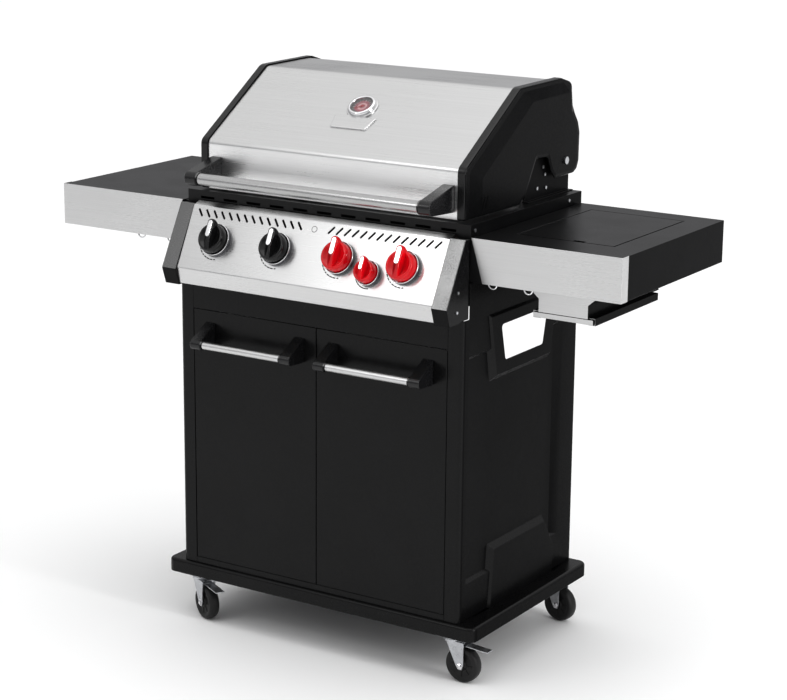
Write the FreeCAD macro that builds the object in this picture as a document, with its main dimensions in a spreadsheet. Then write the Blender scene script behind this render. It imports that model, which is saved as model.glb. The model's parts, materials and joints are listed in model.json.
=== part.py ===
"""Gas barbecue grill on a cabinet cart, with side tables, a side burner and four casters.

Frame: X runs across the front, Y from front to back and Z up; the floor is Z = 0.  The shapes
are drawn about the cart's middle, and each sub-part's Placement then moves them by
cart_centre_y, which puts the origin under the middle of the whole grill.
"""
import FreeCAD, Part
import math
import os

import Sketcher
from FreeCAD import Placement, Rotation, Vector

doc = FreeCAD.newDocument("GasGrill")
sheet = doc.addObject("Spreadsheet::Sheet", "Sizes")
rows_used = 0


class Size:
    """A length or angle written as a spreadsheet expression, so that what uses it stays bound."""

    def __init__(self, text):
        self.text = str(text)

    def __str__(self):
        return self.text

    def __add__(self, other):
        return Size(f"({self} + {other})")

    def __radd__(self, other):
        return Size(f"({other} + {self})")

    def __sub__(self, other):
        return Size(f"({self} - {other})")

    def __rsub__(self, other):
        return Size(f"({other} - {self})")

    def __mul__(self, other):
        return Size(f"({self} * {other})")

    def __rmul__(self, other):
        return Size(f"({other} * {self})")

    def __truediv__(self, other):
        return Size(f"({self} / {other})")

    def __neg__(self):
        return Size(f"(0 - {self})")

    @property
    def value(self):
        """The size as a number of millimetres or degrees."""
        return float(sheet.evalExpression(self.text))


def size(alias, number, meaning):
    """Write one driving dimension into the sheet and return it as a Size."""
    global rows_used
    rows_used += 1
    sheet.set(f"A{rows_used}", meaning)
    sheet.set(f"B{rows_used}", str(number))
    sheet.setAlias(f"B{rows_used}", alias)
    return Size(f"Sizes.{alias}")


def sine(angle):
    return Size(f"sin({angle})")


def cosine(angle):
    return Size(f"cos({angle})")


def number(length):
    """The plain number of a Size or of a number."""
    return length.value if isinstance(length, Size) else float(length)


# ---------------------------------------------------------------- driving dimensions
cart_centre_y = size("cart_centre_y", 23.6, "cart's middle behind the origin")
running = size("running", 0.05, "radial clearance of a pin that turns in its hole")
sheet_wall = size("sheet_wall", 1.2, "steel sheet of the cart")

# Cart
cart_width = size("cart_width", 688, "outside of the two side panels")
cart_front = size("cart_front", 233, "cart's middle to its front face")
cart_back = size("cart_back", 236, "cart's middle to its back face")
caster_height = size("caster_height", 100, "floor to the underside of the bottom shelf")
shelf_height = size("shelf_height", 30, "height of the bottom shelf")
shelf_overhang = size("shelf_overhang", 38.5, "shelf beyond each side panel")
shelf_front_overhang = size("shelf_front_overhang", 8.5, "shelf beyond the front face")
shelf_back_overhang = size("shelf_back_overhang", 5.5, "shelf beyond the back face")
shelf_corner = size("shelf_corner", 18, "corner radius of the shelf seen from above")
shelf_edge = size("shelf_edge", 7, "rounding along the shelf's top edge")
flange_width = size("flange_width", 34.5, "side panel's flange at front and back")
panel_corner = size("panel_corner", 10, "bend radius of a side panel's flanges")
sill_height = size("sill_height", 13, "sill under the doors")
rail_height = size("rail_height", 60.2, "front rail over the doors")
rail_return = size("rail_return", 40, "depth of the rails' folded returns")
rear_panel_height = size("rear_panel_height", 290, "rear panel above the shelf")
tab_inset = size("tab_inset", 12, "rail ends to the outside of the side panels")

# Side panels' pressed relief
field_depth = size("field_depth", 7, "sunk field below the panel's face")
plateau_rise = size("plateau_rise", 5, "raised plateaus above the panel's face")
field_front = size("field_front", 24, "panel's front to the field's edge")
field_back = size("field_back", 67, "panel's back to the field's edge")
field_bottom = size("field_bottom", 77, "shelf to the field's lower edge")
field_top = size("field_top", 147, "panel's top to the field's upper edge")
field_slope = size("field_slope", 11, "width of the field's sloping sides")
field_back_slope = size("field_back_slope", 28, "width of the field's sloping back side")
grip_top = size("grip_top", 82, "panel's top to the upper plateau's top")
grip_height = size("grip_height", 122, "height of the upper plateau")
grip_half = size("grip_half", 133, "half length of the upper plateau at its top")
grip_lean = size("grip_lean", 25, "lean of the upper plateau's ends")
hole_drop = size("hole_drop", 22, "upper plateau's top to the hand hole")
hole_height = size("hole_height", 75, "height of the hand hole")
hole_half = size("hole_half", 94, "half length of the hand hole at its top")
hole_lean = size("hole_lean", 18, "lean of the hand hole's ends")
hole_corner = size("hole_corner", 7, "corner radius of the hand hole")
foot_height = size("foot_height", 122, "height of the lower plateau")
foot_front = size("foot_front", 117, "lower plateau's front end at the shelf")
foot_back = size("foot_back", 142, "lower plateau's back end at the shelf")
foot_lean = size("foot_lean", 13, "lean of the lower plateau's front end")
foot_chamfer = size("foot_chamfer", 39, "length cut off the lower plateau's back corner")
foot_shoulder = size("foot_shoulder", 63, "height of the lower plateau's back end")

# Doors
door_height = size("door_height", 544.2, "height of a door")
door_depth = size("door_depth", 18, "depth of a door's folded edges")
door_gap = size("door_gap", 1.3, "gap around the doors")
door_pin_inset = size("door_pin_inset", 12, "door's side edge to its pin")
door_pin_depth = size("door_pin_depth", 9, "door's face to its pin")
door_pin_radius = size("door_pin_radius", 3, "radius of a door's hinge pin")
door_pin_reach = size("door_pin_reach", 10, "length of pin inside the door")
door_handle_length = size("door_handle_length", 249, "overall length of a door handle")
door_handle_inset = size("door_handle_inset", 153, "cart's middle to a door handle's middle")
door_handle_drop = size("door_handle_drop", 62, "door's top to the handle's bar")
door_handle_reach = size("door_handle_reach", 45, "door's face to the handle's bar")
door_bar_radius = size("door_bar_radius", 8, "radius of a door handle's bar")
bracket_width = size("bracket_width", 25, "width of a handle's end bracket")
bracket_rise = size("bracket_rise", 38, "door handle's bar to the top of its brackets' feet")
bracket_fall = size("bracket_fall", 10, "door handle's bar to the bottom of its brackets' feet")
catch_width = size("catch_width", 38, "length of a magnetic catch")
catch_height = size("catch_height", 12, "height of a magnetic catch")
catch_start = size("catch_start", 6, "cart's middle to a magnetic catch")
catch_gap = size("catch_gap", 3, "catch to the door and to the rail's return")

# Fascia
fascia_setback = size("fascia_setback", 5.8, "cart's front to the fascia's top edge")
fascia_tilt = size("fascia_tilt", 27.1, "fascia's lean from upright, degrees")
fascia_length = size("fascia_length", 136.7, "fascia's sloping face, top to bottom")
fascia_lip_height = size("fascia_lip_height", 35.5, "height of the fascia's bottom lip")
fascia_lip_back = size("fascia_lip_back", 9.1, "how far the bottom lip leans back")
fascia_return = size("fascia_return", 17, "depth of the fascia's top return")
fascia_rise = size("fascia_rise", 6, "rise of the fascia's top return")
fascia_side_gap = size("fascia_side_gap", 2, "end cap inside the side panel's face")
cap_thickness = size("cap_thickness", 35, "width of a fascia end cap")
cap_wall = size("cap_wall", 3, "wall of the moulded end caps")
cap_rise = size("cap_rise", 2, "end cap above the fascia's top edge")
cap_proud = size("cap_proud", 5, "end cap in front of the fascia's bend")
cap_bend_drop = size("cap_bend_drop", 3, "fascia's bend to the end cap's")
cap_lip_back = size("cap_lip_back", 12, "how far the end cap's lip leans back")
cap_foot = size("cap_foot", 2, "end cap below the front rail")
cap_foot_front = size("cap_foot_front", 8, "cart's front to the end cap's foot")
cap_back = size("cap_back", 21.5, "end cap behind the cart's front")
cap_rail_gap = size("cap_rail_gap", 0.3, "front rail to the end cap above it")

# Knobs and valves
burner_margin = size("burner_margin", 84.8, "cart's width that four burner pitches leave")
knob_drop = size("knob_drop", 69.7, "fascia's top edge to a large knob, along the slope")
small_knob_drop = size("small_knob_drop", 91.4, "the same to the small knob")
small_knob_x = size("small_knob_x", 150, "the small knob right of the middle")
knob_radius = size("knob_radius", 30.5, "radius of a large knob")
small_knob_radius = size("small_knob_radius", 22.5, "radius of the small knob")
knob_back = size("knob_back", 6, "fascia to the back of a knob")
knob_face = size("knob_face", 28, "fascia to the face of a knob")
knob_round = size("knob_round", 4, "rounding of a knob's face")
grip_round = size("grip_round", 5, "rounding of a knob's grip")
grip_rise = size("grip_rise", 10, "height of a knob's grip")
grip_width = size("grip_width", 14, "width of a knob's grip")
bezel_gap = size("bezel_gap", 1.3, "knob to its bezel")
bezel_wall = size("bezel_wall", 2, "wall of a bezel")
bezel_height = size("bezel_height", 10, "height of a bezel")
bezel_floor = size("bezel_floor", 1.5, "thickness of a bezel's floor")
stem_radius = size("stem_radius", 4, "radius of a valve stem")
stem_reach = size("stem_reach", 20, "length of stem in front of the fascia")
stem_depth = size("stem_depth", 10, "length of stem behind the fascia")
stem_hole_gap = size("stem_hole_gap", 2, "stem to the edge of its hole")
valve_radius = size("valve_radius", 12, "radius of a valve body")
valve_front = size("valve_front", 5, "fascia to the front of a valve body")
valve_back = size("valve_back", 44, "fascia to the back of a valve body")
manifold_radius = size("manifold_radius", 8, "radius of the gas manifold")
manifold_depth = size("manifold_depth", 30, "fascia to the manifold, square to the slope")
manifold_drop = size("manifold_drop", 22, "valve's axis to the manifold, along the slope")
inlet_radius = size("inlet_radius", 6, "radius of the gas inlet's free end")
inlet_length = size("inlet_length", 30, "length of the gas inlet's free end")
collar_radius = size("collar_radius", 10, "radius of the gas inlet's collar")
collar_height = size("collar_height", 6, "manifold's underside to the collar's underside")
push_travel = size("push_travel", 4, "how far a knob pushes in")

# Firebox
firebox_inset = size("firebox_inset", 4, "firebox inside the side panels' faces")
firebox_setback = size("firebox_setback", 28, "cart's front to the firebox")
firebox_overhang = size("firebox_overhang", 7, "firebox beyond the cart's back")
firebox_wall = size("firebox_wall", 1.5, "sheet of the firebox")
rim_rise = size("rim_rise", 26.1, "fascia's top edge to the firebox's rim")
rim_side = size("rim_side", 50, "width of the rim at the sides")
rim_end = size("rim_end", 28, "width of the rim at the front")
rim_rear = size("rim_rear", 55, "width of the rim at the back")
lower_inset = size("lower_inset", 8, "lower firebox inside the side panels' faces")
hopper_top = size("hopper_top", 47, "panel's top to the firebox's sloping bottom")
hopper_height = size("hopper_height", 30, "height of the sloping bottom")
drain_half_x = size("drain_half_x", 120, "half width of the grease opening")
drain_half_y = size("drain_half_y", 55, "half depth of the grease opening")
slot_count = 11
slot_pitch = size("slot_pitch", 58, "pitch of the vent slots")
slot_width = size("slot_width", 34, "length of a vent slot")
slot_height = size("slot_height", 5, "height of a vent slot")
slot_drop = size("slot_drop", 12, "rim to the vent slots")
ledge_drop = size("ledge_drop", 24, "rim to the ledges that carry the grates")
ledge_depth = size("ledge_depth", 36, "depth of the ledges at front and back")

# Grates, burners and heat tents
grate_height = size("grate_height", 12, "thickness of a cooking grate")
grate_gap = size("grate_gap", 3, "gap around a grate")
grate_bar = size("grate_bar", 7, "width of a grate's bars")
grate_slots = 14
burner_radius = size("burner_radius", 14, "radius of a burner tube")
burner_wall = size("burner_wall", 1, "wall of a burner tube")
burner_rise = size("burner_rise", 8, "panel's top to the burners' axes")
tent_width = size("tent_width", 112, "width of a heat tent")
tent_height = size("tent_height", 26, "height of a heat tent")
tent_drop = size("tent_drop", 78, "rim to a heat tent's lower edges")
rack_height = size("rack_height", 66, "rim to the warming rack")
rack_depth = size("rack_depth", 100, "depth of the warming rack")
rack_wire = size("rack_wire", 2.5, "radius of the warming rack's wires")

# Lid
lid_gap = size("lid_gap", 3, "rim to the lid's lower edge")
lid_inset = size("lid_inset", 18, "lid's caps inside the firebox's sides")
lid_cap_width = size("lid_cap_width", 22, "width of a lid cap")
lid_setback = size("lid_setback", 17, "firebox's front to the lid's front")
lid_front_height = size("lid_front_height", 98.8, "height of the lid's upright front")
lid_slope_height = size("lid_slope_height", 131.9, "height of the lid's slope")
lid_top_front = size("lid_top_front", 183, "hinge to the front of the lid's top")
lid_top_back = size("lid_top_back", 17, "hinge to the back of the lid's top")
lid_back_reach = size("lid_back_reach", 23, "hinge to the lid's back")
lid_back_top = size("lid_back_top", 105, "hinge to the top of the lid's upright back")
lid_back_bottom = size("lid_back_bottom", 15, "hinge to the lower edge of the lid's back")
lid_wall = size("lid_wall", 1, "steel sheet of the lid")
lid_cap_proud = size("lid_cap_proud", 3, "lid cap's band outside the steel")
lid_cheek = size("lid_cheek", 4, "thickness of a lid cap's cheek")
hinge_rise = size("hinge_rise", 68, "rim to the lid's hinge")
hinge_inset = size("hinge_inset", 41, "firebox's back to the lid's hinge")
hinge_radius = size("hinge_radius", 4, "radius of a hinge bolt")
upright_gap = size("upright_gap", 6, "lid shell to a hinge bracket")
upright_wall = size("upright_wall", 3, "plate of a hinge bracket")
upright_reach = size("upright_reach", 150, "hinge to the front of a hinge bracket")
upright_foot = size("upright_foot", 14, "width of a hinge bracket's foot")
foot_wall = size("foot_wall", 2, "thickness of a hinge bracket's foot")
lid_handle_reach = size("lid_handle_reach", 77.7, "lid's front to the handle's bar")
lid_handle_rise = size("lid_handle_rise", 36.2, "rim to the handle's bar")
lid_handle_half = size("lid_handle_half", 292, "half length of the lid's handle")
lid_bar_radius = size("lid_bar_radius", 12, "radius of the handle's bar")
lid_bracket_width = size("lid_bracket_width", 27, "width of the handle's brackets")
lid_bracket_rise = size("lid_bracket_rise", 34, "bar to the top of its brackets' feet")
lid_bracket_fall = size("lid_bracket_fall", 20, "bar to the bottom of its brackets' feet")
socket_depth = size("socket_depth", 12, "bar's depth in its brackets")
gauge_along = size("gauge_along", 144, "lid's lower bend to the thermometer, along the slope")
gauge_radius = size("gauge_radius", 30, "radius of the thermometer's bezel")
gauge_height = size("gauge_height", 11, "height of the thermometer above the lid")
gauge_lip = size("gauge_lip", 7, "width of the thermometer's bezel")
gauge_dial = size("gauge_dial", 4, "height of the dial above the lid")
probe_radius = size("probe_radius", 3, "radius of the thermometer's probe")
probe_length = size("probe_length", 45, "length of the thermometer's probe")
needle_length = size("needle_length", 19, "length of the thermometer's needle")
needle_rest = size("needle_rest", 120, "needle's turn from straight up when cold, degrees")
needle_wall = size("needle_wall", 0.8, "thickness of the needle")
needle_half = size("needle_half", 1, "half width of the needle")
needle_tail = size("needle_tail", 4, "length of the needle's tail")
needle_hub = size("needle_hub", 3, "radius of the needle's hub")
dial_pin = size("dial_pin", 1.5, "radius of the needle's pin")
dial_pin_height = size("dial_pin_height", 3, "height of the needle's pin above the dial")
plate_width = size("plate_width", 105, "width of the plate under the thermometer")
plate_height = size("plate_height", 40, "height of the plate under the thermometer")
plate_lean = size("plate_lean", 8, "lean of the plate's ends")
plate_gap = size("plate_gap", 2, "bezel to the plate below it")
plate_depth = size("plate_depth", 2, "thickness of the plate below the thermometer")

# Side tables
table_gap = size("table_gap", 3, "side panel to a side table")
table_width = size("table_width", 322, "width of a side table")
table_step = size("table_step", 21.7, "rim to the side tables' tops")
table_height = size("table_height", 87, "height of a side table's edge")
table_lift = size("table_lift", 3.3, "side panel's top to the tables' lower edge")
table_setback = size("table_setback", 17.5, "cart's front to the tables' front")
table_back_setback = size("table_back_setback", 6, "cart's back to the tables' back")
trim_wall = size("trim_wall", 0.8, "steel sheet of the tables' front trims")
trim_return = size("trim_return", 26, "depth of the trims' returns")
trim_lean = size("trim_lean", 26, "lean of the trims' inner ends")
arm_width = size("arm_width", 25, "width of a table's bracket arm")
arm_height = size("arm_height", 26, "height of a table's bracket arm")
arm_wall = size("arm_wall", 2, "wall of a bracket arm")
arm_end = size("arm_end", 14, "end of an arm to the table's outer edge")

# Side burner, in the right table
side_middle = size("side_middle", 158.5, "right side panel to the side burner's middle")
well_half = size("well_half", 105, "half width of the opening in the table")
well_front = size("well_front", 87, "table's front to the opening")
well_back = size("well_back", 53, "table's back to the opening")
lid_play = size("lid_play", 2.6, "gap around the side burner's lid")
side_lid_depth = size("side_lid_depth", 10, "depth of the side burner lid's edges")
side_pin_inset = size("side_pin_inset", 3, "lid's edge and face to its hinge pin")
side_pin_radius = size("side_pin_radius", 1.5, "radius of the side burner lid's pin")
box_depth = size("box_depth", 78, "table's top to the box's sloping sides")
box_slope = size("box_slope", 70, "height of the box's sloping sides")
box_foot_half = size("box_foot_half", 53.5, "half width of the box's bottom")
box_foot_height = size("box_foot_height", 26, "height of the upright foot of the box")
side_tray_half = size("side_tray_half", 65, "half width of the side drip tray")
side_tray_height = size("side_tray_height", 10, "height of the side drip tray")
side_tray_gap = size("side_tray_gap", 1, "box's bottom to the side drip tray")
side_tray_wall = size("side_tray_wall", 2, "walls of the side drip tray")
side_tray_floor = size("side_tray_floor", 1, "floor of the side drip tray")
side_tray_back = size("side_tray_back", 26, "box's back to the side drip tray")
drip_radius = size("drip_radius", 20, "radius of the hole above the side drip tray")
trivet_half = size("trivet_half", 4, "half width of the side trivet's bars")
trivet_height = size("trivet_height", 8, "height of the side trivet")
trivet_pitch = size("trivet_pitch", 48, "pitch of the side trivet's bars")
trivet_ring = size("trivet_ring", 34, "outer radius of the side trivet's ring")
trivet_hole = size("trivet_hole", 26, "inner radius of the side trivet's ring")
head_radius = size("head_radius", 46, "radius of the side burner's head")
head_height = size("head_height", 18, "height of the side burner's head")

# Grease tray under the firebox
grease_half = size("grease_half", 150, "half width of the grease tray")
grease_height = size("grease_height", 30, "height of the grease tray")
grease_front = size("grease_front", 130, "cart's middle to the grease tray's front")
grease_wall = size("grease_wall", 1, "sheet of the grease tray")
grease_gap = size("grease_gap", 2, "grease tray to the firebox and its runners")
grease_lip_half = size("grease_lip_half", 60, "half width of the grease tray's pull")
grease_lip_depth = size("grease_lip_depth", 12, "depth of the grease tray's pull")
grease_lip_drop = size("grease_lip_drop", 12, "grease tray's top to its pull")
grease_lip_wall = size("grease_lip_wall", 2, "thickness of the grease tray's pull")
grease_tail = size("grease_tail", 4, "grease tray behind the cart's back")

# Casters
caster_inset_x = size("caster_inset_x", 64.5, "shelf's side to a caster's swivel")
caster_inset_y = size("caster_inset_y", 36.5, "shelf's front or back to a caster's swivel")
wheel_radius = size("wheel_radius", 37.5, "radius of a wheel")
wheel_width = size("wheel_width", 24, "width of a wheel")
wheel_round = size("wheel_round", 6, "rounding of a wheel's edges")
trail = size("trail", 23, "swivel to the wheel's axle")
axle_radius = size("axle_radius", 4, "radius of an axle")
fork_gap = size("fork_gap", 2, "wheel to the fork")
fork_wall = size("fork_wall", 2.5, "plate of a fork")
crown_radius = size("crown_radius", 20, "radius of a caster's bearing")
crown_gap = size("crown_gap", 0.3, "gap in a caster's bearing")
kingpin_radius = size("kingpin_radius", 5, "radius of a caster's kingpin")
plate_size = size("plate_size", 60, "side of a caster's top plate")
plate_wall = size("plate_wall", 3, "thickness of a caster's top plate")
bearing_height = size("bearing_height", 6, "height of each half of a caster's bearing")
bridge_front = size("bridge_front", 10, "swivel to the front of a fork")
leg_reach = size("leg_reach", 8, "axle to the back of a fork's legs")
axle_end = size("axle_end", 2, "axle beyond the fork's legs")
pedal_length = size("pedal_length", 60, "length of a brake pedal")
pedal_width = size("pedal_width", 20, "width of a brake pedal")
pedal_wall = size("pedal_wall", 2, "thickness of a brake pedal")
pedal_fall = size("pedal_fall", 5, "fall of a brake pedal to its tip")
pedal_hub = size("pedal_hub", 3, "radius of a brake pedal's pin")

# Fasteners
screw_radius = size("screw_radius", 3.5, "radius of a screw's head")
small_screw_radius = size("small_screw_radius", 3, "radius of an end cap's screws")
screw_height = size("screw_height", 2, "height of a screw's head")
bolt_head_radius = size("bolt_head_radius", 8, "radius of a hinge bolt's head")
bolt_head_height = size("bolt_head_height", 3.7, "height of a hinge bolt's head")
bolt_nut_radius = size("bolt_nut_radius", 7, "radius of a hinge bolt's nut")
bolt_nut_height = size("bolt_nut_height", 4.7, "height of a hinge bolt's nut")
bolt_play = size("bolt_play", 0.3, "lid to a hinge bolt's head and nut")

# Outlines drawn from the lid's hinge: behind it and above it
LID_UNDERSIDE = ((10, -31), (-42, -31), (-58, -14), (-74, 17), (-120, 20), (-163, -50))
LID_UNDERSIDE_FRONT = 190
CHEEK_BACK = ((36, 96), (53, 74), (61, 52), (60, -8), (52, -24), (38, -31))
BAND_BACK = ((28, 158), (34, 113))
UPRIGHT_TOP = ((-108, 14), (0, 22), (20, 10))
UPRIGHT_BACK_DROP = 30
BRACKET_SCREWS = ((-72, -5), (-64, -21), (-96, -46), (-59, -49))
CAP_SCREWS = ((26, 60), (30, 22))
doc.recompute()

# ---------------------------------------------------------------- derived places
side = cart_width / 2
front = -cart_front
back = cart_back
shelf_top = caster_height + shelf_height
door_bottom = shelf_top + sill_height + door_gap
door_top = door_bottom + door_height
rail_bottom = door_top + door_gap
rail_top = rail_bottom + rail_height
bend_z = rail_top + fascia_lip_height
fascia_top = bend_z + fascia_length * cosine(fascia_tilt)
fascia_y = front + fascia_setback
bend_y = fascia_y - fascia_length * sine(fascia_tilt)
rim = fascia_top + rim_rise
table_top = rim - table_step
table_bottom = table_top - table_height
panel_top = table_bottom - table_lift
fascia_outer = side - fascia_side_gap
fascia_half = fascia_outer - cap_thickness
burner_pitch = (cart_width - burner_margin) / 4
burner_places = [burner_pitch * step for step in (-1.5, -0.5, 0.5, 1.5)]
box_half = side - firebox_inset
box_front = front + firebox_setback
box_back = back + firebox_overhang
lid_cap_outer = box_half - lid_inset
lid_half = lid_cap_outer - lid_cap_width
lid_front = box_front + lid_setback
lid_bottom = rim + lid_gap
lower_bend_z = lid_bottom + lid_front_height
upper_bend_z = lower_bend_z + lid_slope_height
hinge_y = box_back - hinge_inset
hinge_z = rim + hinge_rise
table_inner = side + table_gap
table_outer = table_inner + table_width
table_front = front + table_setback
table_back = back - table_back_setback


# ---------------------------------------------------------------- building blocks
def bind(thing, **properties):
    """Bind properties of a document object; a double underscore stands for a dot."""
    for name, length in properties.items():
        thing.setExpression(name.replace("__", "."), str(length))
    return thing


def block(x, y, z):
    """A box between the two limits given for each axis."""
    thing = doc.addObject("Part::Box", "Block")
    bind(thing, Length=x[1] - x[0], Width=y[1] - y[0], Height=z[1] - z[0])
    return bind(thing, Placement__Base__x=x[0], Placement__Base__y=y[0], Placement__Base__z=z[0])


AXIS_TURNS = {
    "x": Rotation(Vector(0, 1, 0), 90),
    "y": Rotation(Vector(1, 0, 0), -90),
    "z": Rotation(),
}


def rod(axis, radius, low, high, across):
    """A cylinder along an axis between two limits; across is its place on the other two axes."""
    thing = doc.addObject("Part::Cylinder", "Rod")
    thing.Placement = Placement(Vector(), AXIS_TURNS[axis])
    bind(thing, Radius=radius, Height=high - low)
    others = [name for name in "xyz" if name != axis]
    places = {axis: low, others[0]: across[0], others[1]: across[1]}
    for name, place in places.items():
        thing.setExpression(f"Placement.Base.{name}", str(place))
    return thing


PLANES = {
    "xy": ("z", Rotation(), 0),
    "yz": ("x", Rotation(Vector(0, 1, 0), Vector(0, 0, 1), Vector(1, 0, 0)), 0),
    "xz": ("y", Rotation(Vector(1, 0, 0), 90), 1),
}


def outline(plane, place, points, closed=True):
    """A sketch of straight lines through points whose places are bound to the sheet."""
    axis, turn, _ = PLANES[plane]
    sketch = doc.addObject("Sketcher::SketchObject", "Outline")
    sketch.Placement = Placement(Vector(), turn)
    sketch.setExpression(f"Placement.Base.{axis}", str(place))
    corners = [Vector(number(u), number(v), 0) for u, v in points]
    ends = corners[1:] + corners[:1] if closed else corners[1:]
    for start, end in zip(corners, ends):
        sketch.addGeometry(Part.LineSegment(start, end), False)
    lines = len(ends)
    for line in range(lines if closed else lines - 1):
        sketch.addConstraint(Sketcher.Constraint("Coincident", line, 2, (line + 1) % lines, 1))
    for index, (u, v) in enumerate(points):
        line, end = (index, 1) if index < lines else (index - 1, 2)
        for kind, length in (("DistanceX", u), ("DistanceY", v)):
            constraint = Sketcher.Constraint(kind, -1, 1, line, end, number(length))
            row = sketch.addConstraint(constraint)
            sketch.setExpression(f"Constraints[{row}]", str(length))
    return sketch


def extrude(profile, length):
    thing = doc.addObject("Part::Extrusion", "Prism")
    thing.Base = profile
    thing.DirMode = "Normal"
    thing.Solid = True
    return bind(thing, LengthFwd=length)


def prism(plane, points, low, high):
    """A closed outline drawn on a plane and extruded between two limits."""
    start = high if PLANES[plane][2] else low
    return extrude(outline(plane, start, points), high - low)


def folded(plane, points, wall, low, high):
    """A sheet folded along an open line; a positive wall lies right of the line."""
    start = high if PLANES[plane][2] else low
    skin = doc.addObject("Part::Offset2D", "Fold")
    skin.Source = outline(plane, start, points, closed=False)
    skin.Mode = "Skin"
    skin.Join = "Intersection"
    skin.Fill = True
    bind(skin, Value=wall)
    return extrude(skin, high - low)


def frustum(near, near_points, far, far_points):
    """A solid with straight sides between an outline at x = near and one at x = far."""
    thing = doc.addObject("Part::Loft", "Frustum")
    thing.Sections = [outline("yz", near, near_points), outline("yz", far, far_points)]
    thing.Solid = True
    thing.Ruled = True
    return thing


def fuse(*things):
    if len(things) == 1:
        return things[0]
    thing = doc.addObject("Part::MultiFuse", "Fused")
    thing.Shapes = list(things)
    return thing


def cut(base, *tools):
    thing = doc.addObject("Part::Cut", "Trimmed")
    thing.Base = base
    thing.Tool = fuse(*tools)
    return thing


def group(*things):
    thing = doc.addObject("Part::Compound", "Group")
    thing.Links = list(things)
    return thing


def mirrored(thing):
    """The same shape on the other side of the middle plane."""
    copy = doc.addObject("Part::Mirroring", "Mirrored")
    copy.Source = thing
    copy.Base = Vector(0, 0, 0)
    copy.Normal = Vector(1, 0, 0)
    return copy


def rounded(thing, radius, chosen):
    """Round the straight or curved edges for which chosen(edge) is true."""
    doc.recompute()
    picks = [i for i, edge in enumerate(thing.Shape.Edges, 1) if chosen(edge)]
    fillet = doc.addObject("Part::Fillet", "Rounded")
    fillet.Base = thing
    fillet.Edges = [(pick, number(radius), number(radius)) for pick in picks]
    return fillet


def along(edge, axis):
    """True for a straight edge parallel to an axis."""
    if edge.Curve.TypeId != "Part::GeomLine":
        return False
    return abs(getattr(edge.Curve.Direction, axis)) > 0.999


def at_height(edge, axis, place):
    """True for an edge that lies wholly at one place along an axis."""
    box = edge.BoundBox
    low, high = getattr(box, f"{axis}Min"), getattr(box, f"{axis}Max")
    return abs(low - number(place)) < 0.01 and abs(high - number(place)) < 0.01


def on_fascia(x, drop, *things):
    """Stand things that are drawn about +Z on the fascia, drop below its top edge."""
    thing = group(*things)
    thing.Placement = Placement(Vector(), Rotation(Vector(1, 0, 0), 1))
    bind(thing, Placement__Rotation__Angle=90 - fascia_tilt, Placement__Base__x=x)
    bind(thing, Placement__Base__y=fascia_y - drop * sine(fascia_tilt))
    return bind(thing, Placement__Base__z=fascia_top - drop * cosine(fascia_tilt))


sub_parts = []


def sub_part(label, *solids):
    """Close one sub-part: its solids under one label, moved to their place from the origin."""
    thing = group(*solids)
    thing.Label = label
    bind(thing, Placement__Base__y=cart_centre_y)
    sub_parts.append(thing)
    return thing


# ---------------------------------------------------------------- cart
def base_tray():
    """Bottom shelf: a closed box of sheet with rounded corners and a rounded top edge."""
    half = side + shelf_overhang
    y = (front - shelf_front_overhang, back + shelf_back_overhang)
    body = block((-half, half), y, (caster_height, shelf_top))
    body = rounded(body, shelf_corner, lambda edge: along(edge, "z"))
    body = rounded(body, shelf_edge, lambda edge: at_height(edge, "Z", shelf_top))
    inner = half - sheet_wall
    roof = shelf_top - sheet_wall
    hollow = block(
        (-inner, inner), (y[0] + sheet_wall, y[1] - sheet_wall), (caster_height + sheet_wall, roof)
    )
    hollow = rounded(hollow, shelf_corner - sheet_wall, lambda edge: along(edge, "z"))
    hollow = rounded(hollow, shelf_edge - sheet_wall, lambda edge: at_height(edge, "Z", roof))
    sub_part("base_tray", cut(body, hollow))


def relief_levels(face):
    """The block behind a side panel's face, with its sunk field and raised plateaus."""
    slope = field_depth + plateau_rise
    top, bottom = panel_top, shelf_top
    deep, high = face - field_depth, face + plateau_rise
    y1, y2 = front + field_front, back - field_back
    z1, z2 = bottom + field_bottom, top - field_top
    rim_points = [(y1, z1), (y2, z1), (y2, z2), (y1, z2)]
    floor_y = (y1 + field_slope, y2 - field_back_slope)
    floor_z = (z1 + field_depth, z2 - field_depth)
    floor = [
        (floor_y[0], floor_z[0]), (floor_y[1], floor_z[0]),
        (floor_y[1], floor_z[1]), (floor_y[0], floor_z[1]),
    ]
    field = frustum(deep, floor, face, rim_points)

    def grip(spread):
        up, low = top - grip_top, top - grip_top - grip_height
        return [
            (-(grip_half + spread), up + spread), (-(grip_half + spread - grip_lean), low - spread),
            (grip_half + spread - grip_lean, low - spread), (grip_half + spread, up + spread),
        ]

    def foot(spread):
        up, shoulder = bottom + foot_height, bottom + foot_shoulder
        return [
            (-(foot_front + spread), bottom), (-(foot_front + spread - foot_lean), up + spread),
            (foot_back - foot_chamfer + spread / 2, up + spread),
            (foot_back + spread, shoulder + spread / 2), (foot_back + spread, bottom),
        ]

    plateaus = [frustum(deep, shape(slope), high, shape(0)) for shape in (grip, foot)]
    reach = flange_width + field_back
    slab = block(
        (face - reach, face),
        (front + panel_corner, back - panel_corner),
        (bottom, top),
    )
    return fuse(cut(slab, field), *plateaus)


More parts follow.
